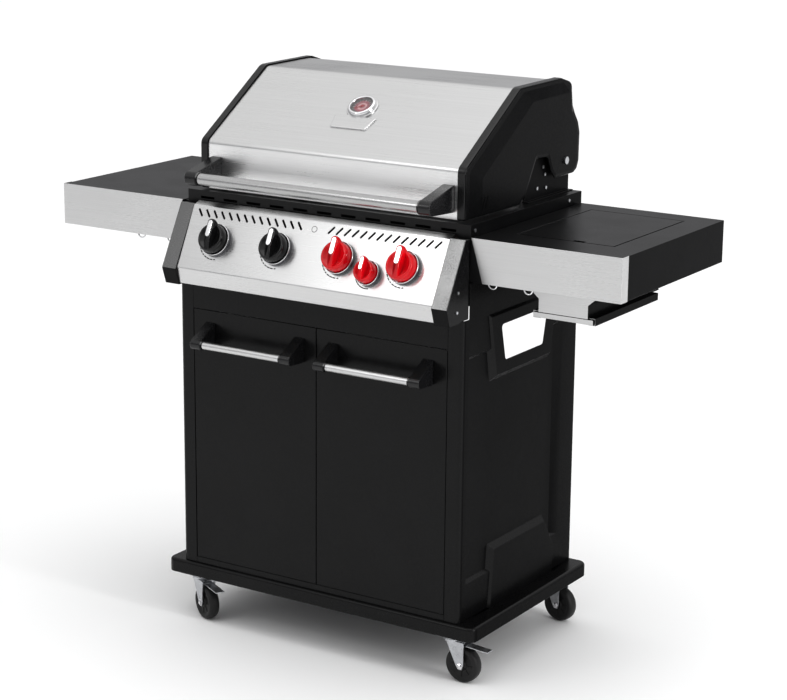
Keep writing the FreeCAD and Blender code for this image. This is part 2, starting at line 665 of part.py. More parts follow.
def side_panels():
    """Pressed side panels with folded front and back flanges and a hand hole."""
    wide = (front, back)
    tall = (shelf_top, panel_top)
    skin = rounded(
        block((side - flange_width, side), wide, tall),
        panel_corner,
        lambda edge: along(edge, "z") and edge.BoundBox.XMin > number(side) - 1,
    )
    inside = rounded(
        block(
            (side - flange_width - sheet_wall, side - sheet_wall),
            (front + sheet_wall, back - sheet_wall),
            (shelf_top - sheet_wall, panel_top + sheet_wall),
        ),
        panel_corner - sheet_wall,
        lambda edge: along(edge, "z") and edge.BoundBox.XMin > number(side) - 2,
    )
    window = block(
        (side - 2 * sheet_wall, side + sheet_wall),
        (front + panel_corner, back - panel_corner),
        (shelf_top - sheet_wall, panel_top + sheet_wall),
    )
    pressed = cut(relief_levels(side), relief_levels(side - sheet_wall))
    up = panel_top - grip_top - hole_drop
    low = up - hole_height
    hand_hole = rounded(
        prism(
            "yz",
            [
                (-hole_half, up), (-(hole_half - hole_lean), low),
                (hole_half - hole_lean, low), (hole_half, up),
            ],
            side - flange_width,
            side + flange_width,
        ),
        hole_corner,
        lambda edge: along(edge, "x"),
    )
    fascia_notch = block(
        (side - 2 * flange_width, side + sheet_wall),
        (front - sheet_wall, front + fascia_return + 5),
        (rail_top, panel_top + sheet_wall),
    )
    panel = cut(fuse(cut(skin, inside, window), pressed), hand_hole, fascia_notch)
    sub_part("side_panel_right", panel)
    sub_part("side_panel_left", mirrored(panel))


def rear_panel():
    """Low panel that closes the lower back of the cabinet, with a folded top edge."""
    face = back - sheet_wall
    top = shelf_top + rear_panel_height
    half = side - tab_inset
    points = [(face, shelf_top), (face, top), (face - tab_inset, top)]
    sub_part("rear_panel", folded("yz", points, -sheet_wall, -half, half))


def rail(low, high, y_face, inward, return_z):
    """A cross member: face between the flanges, tabs behind them and a folded return."""
    face_half = side - flange_width - door_gap / 3
    tab_half = side - tab_inset
    near, far = y_face + inward * sheet_wall, y_face + inward * 2 * sheet_wall
    deep = y_face + inward * rail_return
    face = block((-face_half, face_half), span(y_face, far), (low, high))
    tabs = block((-tab_half, tab_half), span(near, far), (low, high))
    lip = block((-face_half, face_half), span(near, deep), return_z)
    return fuse(face, tabs, lip)


def span(a, b):
    """Two limits in rising order."""
    return (a, b) if number(a) < number(b) else (b, a)


def runner_points():
    """Outline of the right grease runner: a web under the firebox and a shelf for the tray."""
    top = panel_top - hopper_top - hopper_height
    web = grease_half + grease_gap
    shelf = top - grease_gap - grease_height - grease_wall
    return [
        (web, top), (web + sheet_wall, top), (web + sheet_wall, shelf - sheet_wall),
        (web - tab_inset, shelf - sheet_wall), (web - tab_inset, shelf), (web, shelf),
    ]


def cart_rails():
    """Door sill, front rail, rear rail and the two runners of the grease tray."""
    sill_top = shelf_top + sill_height
    sill = rail(shelf_top, sill_top, front, 1, (sill_top - sheet_wall, sill_top))
    over = rail(rail_bottom, rail_top, front, 1, (rail_bottom, rail_bottom + sheet_wall))
    rear_low = panel_top - rail_height - fascia_setback
    rear = rail(rear_low, panel_top, back, -1, (panel_top - sheet_wall, panel_top))
    behind_wall = (back - rail_return, back - 3 * sheet_wall)
    rear = cut(rear, block((-side, side), behind_wall, (rear_low, panel_top + 1)))
    runner = prism("xz", runner_points(), -grease_front, back - 2 * sheet_wall)
    sub_part("cart_rails", sill, over, rear, runner, mirrored(runner))


def door_pin_place():
    """Right door's pin, across and along the cart."""
    return side - flange_width - door_gap - door_pin_inset, front + door_pin_depth


def door_hardware():
    """Hinge pins in the sill and the rail, and a magnetic catch behind each door."""
    pin = door_pin_place()
    sill_top = shelf_top + sill_height
    upper = rod("z", door_pin_radius, door_top - door_pin_reach, rail_bottom, pin)
    lower = rod("z", door_pin_radius, sill_top, door_bottom + door_pin_reach, pin)
    catch_y = (front + door_depth + catch_gap, front + rail_return - catch_gap)
    catch_z = (rail_bottom - catch_height, rail_bottom)
    catch = block((catch_start, catch_start + catch_width), catch_y, catch_z)
    right = [upper, lower, catch]
    sub_part("door_hardware", *right, *[mirrored(thing) for thing in right])


def doors():
    """Each door is a shallow pan of sheet that turns on pins in its top and bottom edges."""
    edge = side - flange_width - door_gap
    x = (door_gap / 2, edge)
    y = (front, front + door_depth)
    pan = rounded(
        block(x, y, (door_bottom, door_top)),
        2,
        lambda line: along(line, "z") and line.BoundBox.YMin < number(front) + 1,
    )
    hollow = block(
        (x[0] + sheet_wall, x[1] - sheet_wall),
        (y[0] + sheet_wall, y[1] + sheet_wall),
        (door_bottom + sheet_wall, door_top - sheet_wall),
    )
    pin_hole = rod(
        "z", door_pin_radius + running, door_bottom - 1, door_top + 1, door_pin_place()
    )
    door = cut(pan, hollow, pin_hole)
    sub_part("door_right", door)
    sub_part("door_left", mirrored(door))


def wedge(y_foot, z_bar, reach, nose, foot_up, foot_down, x):
    """A handle's end bracket: a wedge from its foot out to a rounded nose around the bar."""
    y_bar = y_foot - reach
    points = [
        (y_foot, z_bar + foot_up), (y_foot, z_bar - foot_down),
        (y_bar + nose * 1.2, z_bar - nose - 2), (y_bar - nose * 0.5, z_bar - nose),
        (y_bar - nose, z_bar - nose * 0.4), (y_bar - nose, z_bar + nose * 0.4),
        (y_bar - nose * 0.5, z_bar + nose), (y_bar + nose * 0.6, z_bar + nose + 4),
    ]
    return prism("yz", points, x[0], x[1])


def handle(x_low, x_high, y_foot, z_bar, reach, radius, width, foot_up, foot_down):
    """A bar whose ends sit in the sockets of two wedge brackets: returns bar and brackets."""
    y_bar = y_foot - reach
    nose = radius + cap_wall
    brackets = []
    for low, high, inward in ((x_low, x_low + width, 1), (x_high - width, x_high, -1)):
        body = wedge(y_foot, z_bar, reach, nose, foot_up, foot_down, (low, high))
        mouth = high if inward > 0 else low
        socket = rod(
            "x", radius + running, *span(mouth - inward * socket_depth, mouth + inward), (y_bar, z_bar)
        )
        brackets.append(cut(body, socket))
    depth = width - socket_depth
    bar = rod("x", radius, x_low + depth, x_high - depth, (y_bar, z_bar))
    return bar, brackets


def door_handles():
    """Steel bars between black brackets, one handle on each door."""
    z_bar = door_top - door_handle_drop
    for name, middle in (("left", -door_handle_inset), ("right", door_handle_inset)):
        half = door_handle_length / 2
        bar, brackets = handle(
            middle - half, middle + half, front, z_bar, door_handle_reach, door_bar_radius,
            bracket_width, bracket_rise, bracket_fall,
        )
        sub_part(f"door_{name}_handle_bar", bar)
        sub_part(f"door_{name}_handle_brackets", *brackets)


# ---------------------------------------------------------------- fascia and gas train
def fascia_points():
    """The fascia's folded line from its top return to its bottom lip."""
    return [
        (fascia_y + fascia_return, fascia_top + fascia_rise), (fascia_y, fascia_top),
        (bend_y, bend_z), (bend_y + fascia_lip_back, rail_top),
        (bend_y + fascia_lip_back + fascia_return, rail_top),
    ]


def knob_places():
    """Name, place across, drop along the slope and radius of every knob."""
    names = ("knob_far_left", "knob_left", "knob_right", "knob_far_right")
    large = [(name, x, knob_drop, knob_radius) for name, x in zip(names, burner_places)]
    return large + [("knob_side_burner", small_knob_x, small_knob_drop, small_knob_radius)]


def fascia():
    """Brushed steel control panel, with a hole for every valve stem, and its end caps."""
    panel = folded("yz", fascia_points(), -sheet_wall, -fascia_half, fascia_half)
    holes = []
    for _, x, drop, _ in knob_places():
        hole = rod("z", stem_radius + stem_hole_gap, -cap_thickness, cap_thickness, (0, 0))
        holes.append(on_fascia(x, drop, hole))
    sub_part("fascia_panel", cut(panel, *holes))

    nose = bend_y - cap_proud
    nose_z = bend_z - cap_bend_drop
    foot = rail_top - cap_foot
    shell = [
        (fascia_y, fascia_top + cap_rise), (nose, nose_z), (nose + cap_lip_back, foot),
        (front - cap_foot_front, foot), (front - cap_foot_front, rail_top + cap_rail_gap),
        (front + cap_back, rail_top + cap_rail_gap), (front + cap_back, fascia_top),
    ]
    outer = prism("yz", shell, fascia_half, fascia_outer)
    open_back = front + cap_thickness
    ceiling = fascia_top - 3 * cap_wall
    hollow = [
        (fascia_y + cap_wall, ceiling), (nose + 2 * cap_wall, nose_z),
        (nose + cap_lip_back + 1.5 * cap_wall, rail_top + cap_wall),
        (open_back, rail_top + cap_wall), (open_back, ceiling),
    ]
    inner = prism("yz", hollow, fascia_half + cap_wall, fascia_outer - cap_wall)
    cap = cut(outer, inner)
    sub_part("fascia_end_caps", cap, mirrored(cap))


def knob(radius):
    """A round knob with a tall grip across it and a blind hole for the stem."""
    skirt = rounded(
        rod("z", radius, knob_back, knob_face, (0, 0)),
        knob_round,
        lambda edge: at_height(edge, "Z", knob_face),
    )
    grip = rounded(
        block(
            (-grip_width / 2, grip_width / 2),
            (-radius + 2, radius + 1),
            (knob_face - grip_round, knob_face + grip_rise),
        ),
        grip_round,
        lambda edge: along(edge, "z") or at_height(edge, "Z", knob_face + grip_rise),
    )
    bore = rod("z", stem_radius + running, knob_back - 1, stem_reach + push_travel + 1, (0, 0))
    return cut(fuse(skirt, grip), bore)


def bezel(radius):
    """A steel cup around a knob's skirt, with a hole for the stem."""
    outer = rod("z", radius + bezel_gap + bezel_wall, Size(0), bezel_height, (0, 0))
    inner = rod("z", radius + bezel_gap, bezel_floor, bezel_height + 1, (0, 0))
    hole = rod("z", stem_radius + stem_hole_gap, Size(-1), bezel_height, (0, 0))
    return cut(outer, inner, hole)


def knobs_and_stems():
    """Every knob slides on its own stem, and stem and knob turn together in the valve."""
    bezels = []
    for name, x, drop, radius in knob_places():
        sub_part(name, on_fascia(x, drop, knob(radius)))
        stem = rod("z", stem_radius, -stem_depth, stem_reach, (0, 0))
        sub_part(name.replace("knob", "valve_stem"), on_fascia(x, drop, stem))
        bezels.append(on_fascia(x, drop, bezel(radius)))
    sub_part("knob_bezels", *bezels)


def off_fascia(drop, depth):
    """Y and Z of a point behind the fascia: drop along its slope, depth square to it."""
    y = fascia_y - drop * sine(fascia_tilt) + depth * cosine(fascia_tilt)
    z = fascia_top - drop * cosine(fascia_tilt) - depth * sine(fascia_tilt)
    return y, z


def burner_axis_z():
    return panel_top + burner_rise


def gas_manifold():
    """Gas pipe with a valve behind every knob, a nozzle for every burner and the inlet."""
    pipe_place = off_fascia(knob_drop + manifold_drop, manifold_depth)
    pipe_end = fascia_half - 12
    pieces = [rod("x", manifold_radius, -pipe_end, pipe_end, pipe_place)]
    for _, x, drop, _ in knob_places():
        body = rod("z", valve_radius, -valve_back, -valve_front, (0, 0))
        socket = rod("z", stem_radius + running, -stem_depth - 0.5, -valve_front + 1, (0, 0))
        neck = rod("y", manifold_radius / 2, Size(-manifold_drop), Size(0), (0, -manifold_depth))
        pieces.append(on_fascia(x, drop, cut(fuse(body, neck), socket)))
    burner_front = box_front - 8
    for x in burner_places:
        nozzle_y = off_fascia(knob_drop, valve_back - 8)[0]
        pieces.append(rod("y", 5, nozzle_y, burner_front + 10, (x, burner_axis_z())))
    inlet_place = (-(fascia_half - 3 * collar_radius), pipe_place[0])
    collar_bottom = pipe_place[1] - manifold_radius - collar_height
    collar = rod("z", collar_radius, collar_bottom, pipe_place[1], inlet_place)
    inlet = rod("z", inlet_radius, collar_bottom - inlet_length, pipe_place[1], inlet_place)
    sub_part("gas_manifold", fuse(*pieces, collar, inlet))


# ---------------------------------------------------------------- firebox and what is in it
def firebox_levels(inset):
    """The firebox's outside, or with an inset its inside, as one solid."""
    lower_half = side - lower_inset - inset
    step = panel_top
    y_low, y_high = box_front + inset, box_back - inset
    rear_low = back - 3 * sheet_wall - grease_gap - inset
    slope_top = panel_top - hopper_top
    slope_bottom = slope_top - hopper_height + inset
    upper = block((-(box_half - inset), box_half - inset), (y_low, y_high), (step + inset, rim - inset))
    lower = block((-lower_half, lower_half), (y_low, rear_low), (slope_top, step + inset + inset))
    flat = drain_half_y + 10
    hopper = prism(
        "yz",
        [(y_low, slope_top), (-flat, slope_bottom), (flat, slope_bottom), (rear_low, slope_top)],
        -lower_half,
        lower_half,
    )
    return fuse(upper, lower, hopper)


def firebox():
    """Folded box that carries the lid, grates and burners, with vent slots in its front rim."""
    mouth = block(
        (-(box_half - rim_side), box_half - rim_side),
        (box_front + rim_end, box_back - rim_rear),
        (rim - 2 * firebox_wall, rim + 1),
    )
    bottom = panel_top - hopper_top - hopper_height
    drain = block(
        (-drain_half_x, drain_half_x), (-drain_half_y, drain_half_y), (bottom - 1, bottom + 5)
    )
    slots = []
    for place in range(slot_count):
        middle = slot_pitch * (place - (slot_count - 1) / 2)
        slots.append(
            block(
                (middle - slot_width / 2, middle + slot_width / 2),
                (box_front - 1, box_front + firebox_wall + 1),
                (rim - slot_drop - slot_height, rim - slot_drop),
            )
        )
    ports = [
        rod("y", burner_radius + 1, box_front - 1, box_front + firebox_wall + 1, (x, burner_axis_z()))
        for x in burner_places
    ]
    box_walls = cut(firebox_levels(0), firebox_levels(firebox_wall), mouth, drain, *slots, *ports)
    inner_half = box_half - firebox_wall
    ledge_z = (rim - ledge_drop - firebox_wall, rim - ledge_drop)
    front_ledge = block(
        (-inner_half, inner_half),
        (box_front + firebox_wall, box_front + firebox_wall + ledge_depth), ledge_z,
    )
    back_ledge = block(
        (-inner_half, inner_half), (grate_back() - grate_gap, box_back - firebox_wall), ledge_z
    )
    sub_part("firebox", fuse(box_walls, front_ledge, back_ledge))


def grate_back():
    return box_back - rim_rear - grate_gap


def cooking_grates():
    """Two cast grates side by side on the firebox's ledges."""
    y = (box_front + rim_end + grate_gap, grate_back())
    z = (rim - ledge_drop, rim - ledge_drop + grate_height)
    outer = box_half - rim_side - grate_gap
    x = (grate_gap / 2, outer)
    inner = x[1] - x[0] - grate_bar
    slots = []
    for place in range(grate_slots):
        low = x[0] + grate_bar + inner * place / grate_slots
        high = x[0] + inner * (place + 1) / grate_slots
        slots.append(block((low, high), (y[0] + grate_bar, y[1] - grate_bar), (z[0] - 1, z[1] + 1)))
    grate = cut(block(x, y, z), *slots)
    sub_part("cooking_grates", grate, mirrored(grate), side_trivet())


def heat_tents():
    """Inverted V plates over the burners."""
    z = rim - tent_drop
    tents = []
    for x in burner_places:
        points = [
            (x - tent_width / 2, z), (x, z + tent_height), (x + tent_width / 2, z),
            (x + tent_width / 2 - 2, z - 1), (x, z + tent_height - 2), (x - tent_width / 2 + 2, z - 1),
        ]
        tents.append(prism("xz", points, box_front + firebox_wall, box_back - firebox_wall))
    sub_part("heat_tents", *tents)


def main_burners():
    """Burner tubes that pass through the firebox's front and rest on its back wall."""
    burners = []
    tail = box_back - 2 * lid_back_reach
    for x in burner_places:
        place = (x, burner_axis_z())
        tube = cut(
            rod("y", burner_radius, box_front - 8, tail, place),
            rod("y", burner_radius - burner_wall, box_front - 9, tail - burner_wall, place),
        )
        tab = block(
            (x - 10, x + 10), (tail - 1, box_back - firebox_wall),
            (burner_axis_z() - 2, burner_axis_z()),
        )
        burners.append(fuse(tube, tab))
    sub_part("main_burners", *burners)


def warming_rack():
    """Wire rack over the back of the grates, on four legs that stand on the rim."""
    half = lid_half - 16
    z = rim + rack_height
    y_back = box_back - rim_rear - 4
    y_front = y_back - rack_depth
    wires = []
    for y in (y_front, y_back):
        wires.append(rod("x", rack_wire, -half, half, (y, z)))
    for x in (-half, half):
        wires.append(rod("y", rack_wire, y_front, y_back, (x, z)))
    count = 12
    for place in range(1, count):
        x = half * (2 * place / count - 1)
        wires.append(rod("y", rack_wire * 0.7, y_front, y_back, (x, z)))
    for x in (-half, half):
        wires.append(rod("z", rack_wire, rim - firebox_wall, z, (x, y_back)))
        wires.append(rod("z", rack_wire, rim, z, (x, y_front)))
    sub_part("warming_rack", fuse(*wires))


def grease_tray():
    """Pan that slides out at the back, under the firebox's grease opening."""
    top = panel_top - hopper_top - hopper_height - grease_gap
    z = (top - grease_height, top)
    y = (-grease_front + grease_gap, back + grease_tail)
    pan = cut(
        block((-grease_half, grease_half), y, z),
        block(
            (-grease_half + grease_wall, grease_half - grease_wall),
            (y[0] + grease_wall, y[1] - grease_wall),
            (z[0] + grease_wall, z[1] + 1),
        ),
    )
    lip_z = z[1] - grease_lip_drop
    lip = block(
        (-grease_lip_half, grease_lip_half), (y[1], y[1] + grease_lip_depth),
        (lip_z - grease_lip_wall, lip_z),
    )
    sub_part("grease_tray", fuse(pan, lip))


# ---------------------------------------------------------------- lid
def lid_line():
    """The lid's outer line from its front edge over the top to its back edge."""
    return [
        (lid_front, lid_bottom), (lid_front, lower_bend_z),
        (hinge_y - lid_top_front, upper_bend_z),
        (hinge_y - lid_top_back, upper_bend_z + 2),
        (hinge_y + lid_back_reach, hinge_z + lid_back_top),
        (hinge_y + lid_back_reach, hinge_z - lid_back_bottom),
    ]


def from_hinge(points):
    """Points that are given behind and above the lid's hinge."""
    return [(hinge_y + behind, hinge_z + above) for behind, above in points]


def lid_underside():
    """The lower outline of the lid's ends from the hinge forward to the front edge."""
    return from_hinge(LID_UNDERSIDE) + [(hinge_y - LID_UNDERSIDE_FRONT, lid_bottom)]


def hinge_hole(x):
    return rod("x", hinge_radius + running, *x, (hinge_y, hinge_z))


def slope_angle():
    """Slope of the lid's front in degrees."""
    rise = number(lid_slope_height)
    run = number(hinge_y - lid_top_front - lid_front)
    return math.degrees(math.atan2(rise, run))


def on_lid(along_slope, *things):
    """Stand things that are drawn about +Z on the lid's slope, at its middle."""
    angle = slope_angle()
    thing = group(*things)
    thing.Placement = Placement(Vector(), Rotation(Vector(1, 0, 0), angle))
    run, rise = math.cos(math.radians(angle)), math.sin(math.radians(angle))
    bind(thing, Placement__Base__y=lid_front + along_slope * run)
    return bind(thing, Placement__Base__z=lower_bend_z + along_slope * rise)


def lid():
    """Steel lid with closed ends; its caps, handle and thermometer are sub-parts of their own."""
    skin = folded("yz", lid_line(), lid_wall, -lid_half, lid_half)
    end = prism("yz", lid_line() + lid_underside(), lid_half - lid_wall, lid_half)
    probe_hole = on_lid(
        gauge_along, rod("z", probe_radius + 0.2, Size(-10), Size(10), (0, 0))
    )
    shell = fuse(skin, end, mirrored(end))
    shell = cut(shell, hinge_hole((-lid_half - 1, lid_half + 1)), probe_hole)
    sub_part("lid_shell", shell)


def lid_caps():
    """Cast end caps: a band over the steel's edge and a cheek that reaches round the hinge."""
    proud = lid_cap_proud
    band_line = [
        (lid_front - proud, lid_bottom), (lid_front - proud, lower_bend_z + 1),
        (hinge_y - lid_top_front - 1.5, upper_bend_z + proud),
        (hinge_y - lid_top_back + 1, upper_bend_z + 2 + proud),
    ] + from_hinge(BAND_BACK)
    band = folded("yz", band_line, proud, lid_half, lid_cap_outer)
    outline = band_line + from_hinge(CHEEK_BACK) + lid_underside()
    cheek = prism("yz", outline, lid_cap_outer - lid_cheek, lid_cap_outer)
    cap = cut(fuse(band, cheek), hinge_hole((lid_half, lid_cap_outer + 1)))
    sub_part("lid_cap_right", cap)
    sub_part("lid_cap_left", mirrored(cap))


def hinge_brackets():
    """Uprights on the rim that carry the lid's hinge bolts inside the lid's caps."""
    inner = lid_half + upright_gap
    foot_y = (hinge_y - upright_reach, box_back - foot_wall)
    foot = block((inner, inner + upright_foot), foot_y, (rim, rim + foot_wall))
    points = [
        (foot_y[0], rim), *from_hinge(UPRIGHT_TOP),
        (foot_y[1], hinge_z - UPRIGHT_BACK_DROP), (foot_y[1], rim),
    ]
    plate = cut(prism("yz", points, inner, inner + upright_wall), hinge_hole((inner - 1, inner + 5)))
    bracket = fuse(plate, foot)
    sub_part("hinge_brackets", bracket, mirrored(bracket))


def lid_handle():
    """Steel bar across the lid's front between two black brackets."""
    bar, brackets = handle(
        -lid_handle_half, lid_handle_half, lid_front, rim + lid_handle_rise, lid_handle_reach,
        lid_bar_radius, lid_bracket_width, lid_bracket_rise, lid_bracket_fall,
    )
    sub_part("lid_handle_bar", bar)
    sub_part("lid_handle_brackets", *brackets)


def thermometer():
    """Dial thermometer with its probe through the lid, its needle and the plate below it."""
    bezel_ring = cut(
        rod("z", gauge_radius, Size(0), gauge_height, (0, 0)),
        rod("z", gauge_radius - gauge_lip, gauge_dial, gauge_height + 1, (0, 0)),
    )
    probe = rod("z", probe_radius, -probe_length, Size(1), (0, 0))
    hub = rod("z", dial_pin, gauge_dial - 0.5, gauge_dial + dial_pin_height, (0, 0))
    wide = plate_width / 2
    high = -(gauge_radius + plate_gap)
    low = high - plate_height
    plate = prism(
        "xy",
        [(-wide, high), (-wide + plate_lean, low), (wide - plate_lean, low), (wide, high)],
        Size(0),
        plate_depth,
    )
    sub_part("thermometer", on_lid(gauge_along, fuse(bezel_ring, probe, hub), plate))
    needle_z = (gauge_dial + 1, gauge_dial + 1 + needle_wall)
    needle = cut(
        fuse(
            block((-needle_half, needle_half), (-needle_tail, needle_length), needle_z),
            rod("z", needle_hub, *needle_z, (0, 0)),
        ),
        rod("z", dial_pin + running, gauge_dial, gauge_dial + dial_pin_height, (0, 0)),
    )
    turned = group(needle)
    turned.Placement = Placement(Vector(), Rotation(Vector(0, 0, 1), 1))
    bind(turned, Placement__Rotation__Angle=needle_rest)
    sub_part("thermometer_needle", on_lid(gauge_along, turned))


# ---------------------------------------------------------------- side tables
def table_shell():
    """Right side table: a top with edges folded down at the front, back and outer end."""
    x = (table_inner, table_outer - trim_wall)
    y = (table_front + trim_wall, table_back)
    z = (table_bottom + trim_wall, table_top - trim_wall)
    return cut(
        block(x, y, z),
        block(
            (x[0] - 1, x[1] - sheet_wall),
            (y[0] + sheet_wall, y[1] - sheet_wall),
            (z[0] - 1, z[1] - sheet_wall),
        ),
    )


def well_limits(inset):
    """X and Y limits of the opening for the side burner, drawn in by an inset."""
    middle = side + side_middle
    x = (middle - well_half + inset, middle + well_half - inset)
    y = (table_front + well_front + inset, table_back - well_back - inset)
    return x, y


def side_tables():
    """Two side tables; the right one has an opening for the side burner."""
    sub_part("side_table_left", mirrored(table_shell()))
    x, y = well_limits(0)
    opening = block(x, y, (table_top - 10, table_top + 1))
    sub_part("side_table_right", cut(table_shell(), opening))


def table_trims():
    """Brushed steel front trims with slanted inner ends, folded under the tables' front edges."""
    wrap = block(
        (table_inner, table_outer), (table_front, table_front + trim_return), (table_bottom, table_top)
    )
    core = block(
        (table_inner - 1, table_outer - trim_wall),
        (table_front + trim_wall, table_front + trim_return + 1),
        (table_bottom + trim_wall, table_top + 1),
    )
    slant = prism(
        "xz",
        [(table_inner, table_bottom), (table_inner, table_top), (table_inner + trim_lean, table_bottom)],
        table_front,
        table_front + trim_return,
    )
    trim = cut(wrap, core, slant)
    sub_part("table_front_trims", trim, mirrored(trim))


def table_brackets():
    """Box-section arms that carry the tables from the firebox's sides."""
    z_top = table_top - trim_wall - sheet_wall
    x = (box_half, table_outer - arm_end)
    y_front = table_front + trim_wall + sheet_wall + 8
    y_back = table_back - sheet_wall - 2
    arms = []
    for y in ((y_front, y_front + arm_width), (y_back - arm_width, y_back)):
        bore = block(
            (x[0] - 1, x[1] + 1),
            (y[0] + arm_wall, y[1] - arm_wall),
            (z_top - arm_height + arm_wall, z_top - arm_wall),
        )
        arms.append(cut(block(x, y, (z_top - arm_height, z_top)), bore))
    sub_part("table_brackets", *arms, *[mirrored(arm) for arm in arms])


def side_lid_pin():
    """Y and Z of the side burner lid's hinge."""
    _, y = well_limits(lid_play)
    return y[1] - side_pin_inset, table_top - trim_wall - side_pin_inset


def side_burner_lid():
    """Flat lid, flush with the table, that turns up on pins at its back edge."""
    x, y = well_limits(lid_play)
    top = table_top - trim_wall
    pan = cut(
        block(x, y, (top - side_lid_depth, top)),
        block(
            (x[0] + sheet_wall, x[1] - sheet_wall),
            (y[0] + sheet_wall, y[1] - sheet_wall),
            (top - side_lid_depth - 1, top - sheet_wall),
        ),
        rod("x", side_pin_radius + running, x[0] - 1, x[1] + 1, side_lid_pin()),
    )
    notch = block((x[0] + 118, x[0] + 142), (y[0] - 1, y[0] + 8), (top - side_lid_depth - 1, top + 1))
    sub_part("side_burner_lid", cut(pan, notch))


def side_box_line(inset):
    """Front outline of the side burner's box: upright sides, slopes and a narrow upright foot."""
    middle = side + side_middle
    top = table_top - trim_wall - sheet_wall
    shoulder = table_top - box_depth
    half = well_half - inset
    foot = box_foot_half - inset
    bottom = shoulder - box_slope + inset
    ankle = shoulder - box_slope + box_foot_height
    return [
        (middle - half, top), (middle - half, shoulder), (middle - foot, ankle),
        (middle - foot, bottom), (middle + foot, bottom), (middle + foot, ankle),
        (middle + half, shoulder), (middle + half, top),
    ]


def side_burner_box():
    """Steel box under the table's opening, with a drip hole and the lid's hinge pins."""
    _, y = well_limits(0)
    shell = cut(
        prism("xz", side_box_line(0), y[0], y[1]),
        prism("xz", side_box_line(sheet_wall), y[0] + sheet_wall, y[1] - sheet_wall),
        rod(
            "z", drip_radius, table_top - box_depth - box_slope - 1, table_top - box_depth, side_centre()
        ),
    )
    x, _ = well_limits(0)
    pins = []
    for low, high in ((x[0] + sheet_wall - 0.5, x[0] + 6), (x[1] - 6, x[1] - sheet_wall + 0.5)):
        pins.append(rod("x", side_pin_radius, low, high, side_lid_pin()))
    ears = []
    pin_y, pin_z = side_lid_pin()
    for low, high in ((x[0], x[0] + sheet_wall), (x[1] - sheet_wall, x[1])):
        ears.append(block((low, high), (pin_y - 3, y[1]), (pin_z - 20, pin_z + 2.5)))
    sub_part("side_burner_box", fuse(shell, *ears, *pins, *side_tray_runners()))


def side_tray_runners():
    """Angle runners at both sides of the drip tray, hung from the box's sloping sides."""
    middle, _ = side_centre()
    _, y = well_limits(0)
    bottom = table_top - box_depth - box_slope
    shelf = bottom - side_tray_gap - side_tray_height - side_tray_gap
    web = side_tray_half + side_tray_gap
    runners = []
    for way in (-1, 1):
        outer = middle + way * (web + sheet_wall)
        length = (y[0] + 5, y[1] - 30)
        across = span(middle + way * (box_foot_half - side_tray_gap), outer)
        upright = block(span(middle + way * web, outer), length, (shelf - sheet_wall, bottom))
        flange = block(across, length, (bottom, bottom + sheet_wall))
        foot = block(across, length, (shelf - sheet_wall, shelf))
        runners += [fuse(upright, flange), foot]
    return runners


def side_centre():
    """The side burner's middle."""
    _, y = well_limits(0)
    return side + side_middle, (y[0] + y[1]) / 2


def side_burner():
    """Round cast burner on a tube that crosses the side burner's box."""
    middle, y_middle = side_centre()
    x, _ = well_limits(0)
    z = table_top - box_depth + 24
    head = rod("z", head_radius, z, z + head_height, (middle, y_middle))
    crown = rod("z", head_radius - 14, z, z + head_height + 6, (middle, y_middle))
    tube = rod("x", 10, x[0] + sheet_wall, x[1] - sheet_wall, (y_middle, z))
    sub_part("side_burner", fuse(head, crown, tube))


def side_trivet():
    """Cast trivet over the side burner, resting on its box's front and back walls."""
    middle, y_middle = side_centre()
    x, y = well_limits(sheet_wall)
    z_top = table_top - trim_wall - side_lid_depth - 4
    z = (z_top - trivet_height, z_top)
    bars = [block((x[0], x[1]), (y_middle - trivet_half, y_middle + trivet_half), z)]
    for step in (-1, 0, 1):
        line = middle + step * trivet_pitch
        bars.append(block((line - trivet_half, line + trivet_half), (y[0], y[1]), z))
    ring = rod("z", trivet_ring, z[0], z[1], (middle, y_middle))
    hole = rod("z", trivet_hole, z[0] - 1, z[1] + 1, (middle, y_middle))
    return cut(fuse(*bars, ring), hole)


def side_burner_tray():
    """Drip tray that slides out at the front, under the side burner's box."""
    middle, _ = side_centre()
    _, y = well_limits(0)
    top = table_top - box_depth - box_slope - side_tray_gap
    half = side_tray_half
    y_back = y[1] - side_tray_back
    bottom = top - side_tray_height
    hollow = block(
        (middle - half + side_tray_wall, middle + half - side_tray_wall),
        (y[0] + side_tray_wall, y_back - side_tray_wall),
        (bottom + side_tray_floor, top + 1),
    )
    pan = block((middle - half, middle + half), (y[0], y_back), (bottom, top))
    sub_part("side_burner_tray", cut(pan, hollow))


# ---------------------------------------------------------------- casters
def caster_places():
    """Name, swivel place, swivel angle and brake of every caster."""
    x = side + shelf_overhang - caster_inset_x
    y_front = front - shelf_front_overhang + caster_inset_y
    y_back = back + shelf_back_overhang - caster_inset_y
    return [
        ("front_right", x, y_front, 0, True), ("front_left", -x, y_front, -25, True),
        ("back_right", x, y_back, -10, False), ("back_left", -x, y_back, 15, False),
    ]


def swivelled(place, *things):
    """Turn and move things that are drawn about a caster's swivel axis."""
    _, x, y, angle, _ = place
    thing = group(*things)
    thing.Placement = Placement(Vector(), Rotation(Vector(0, 0, 1), angle))
    return bind(thing, Placement__Base__x=x, Placement__Base__y=y)


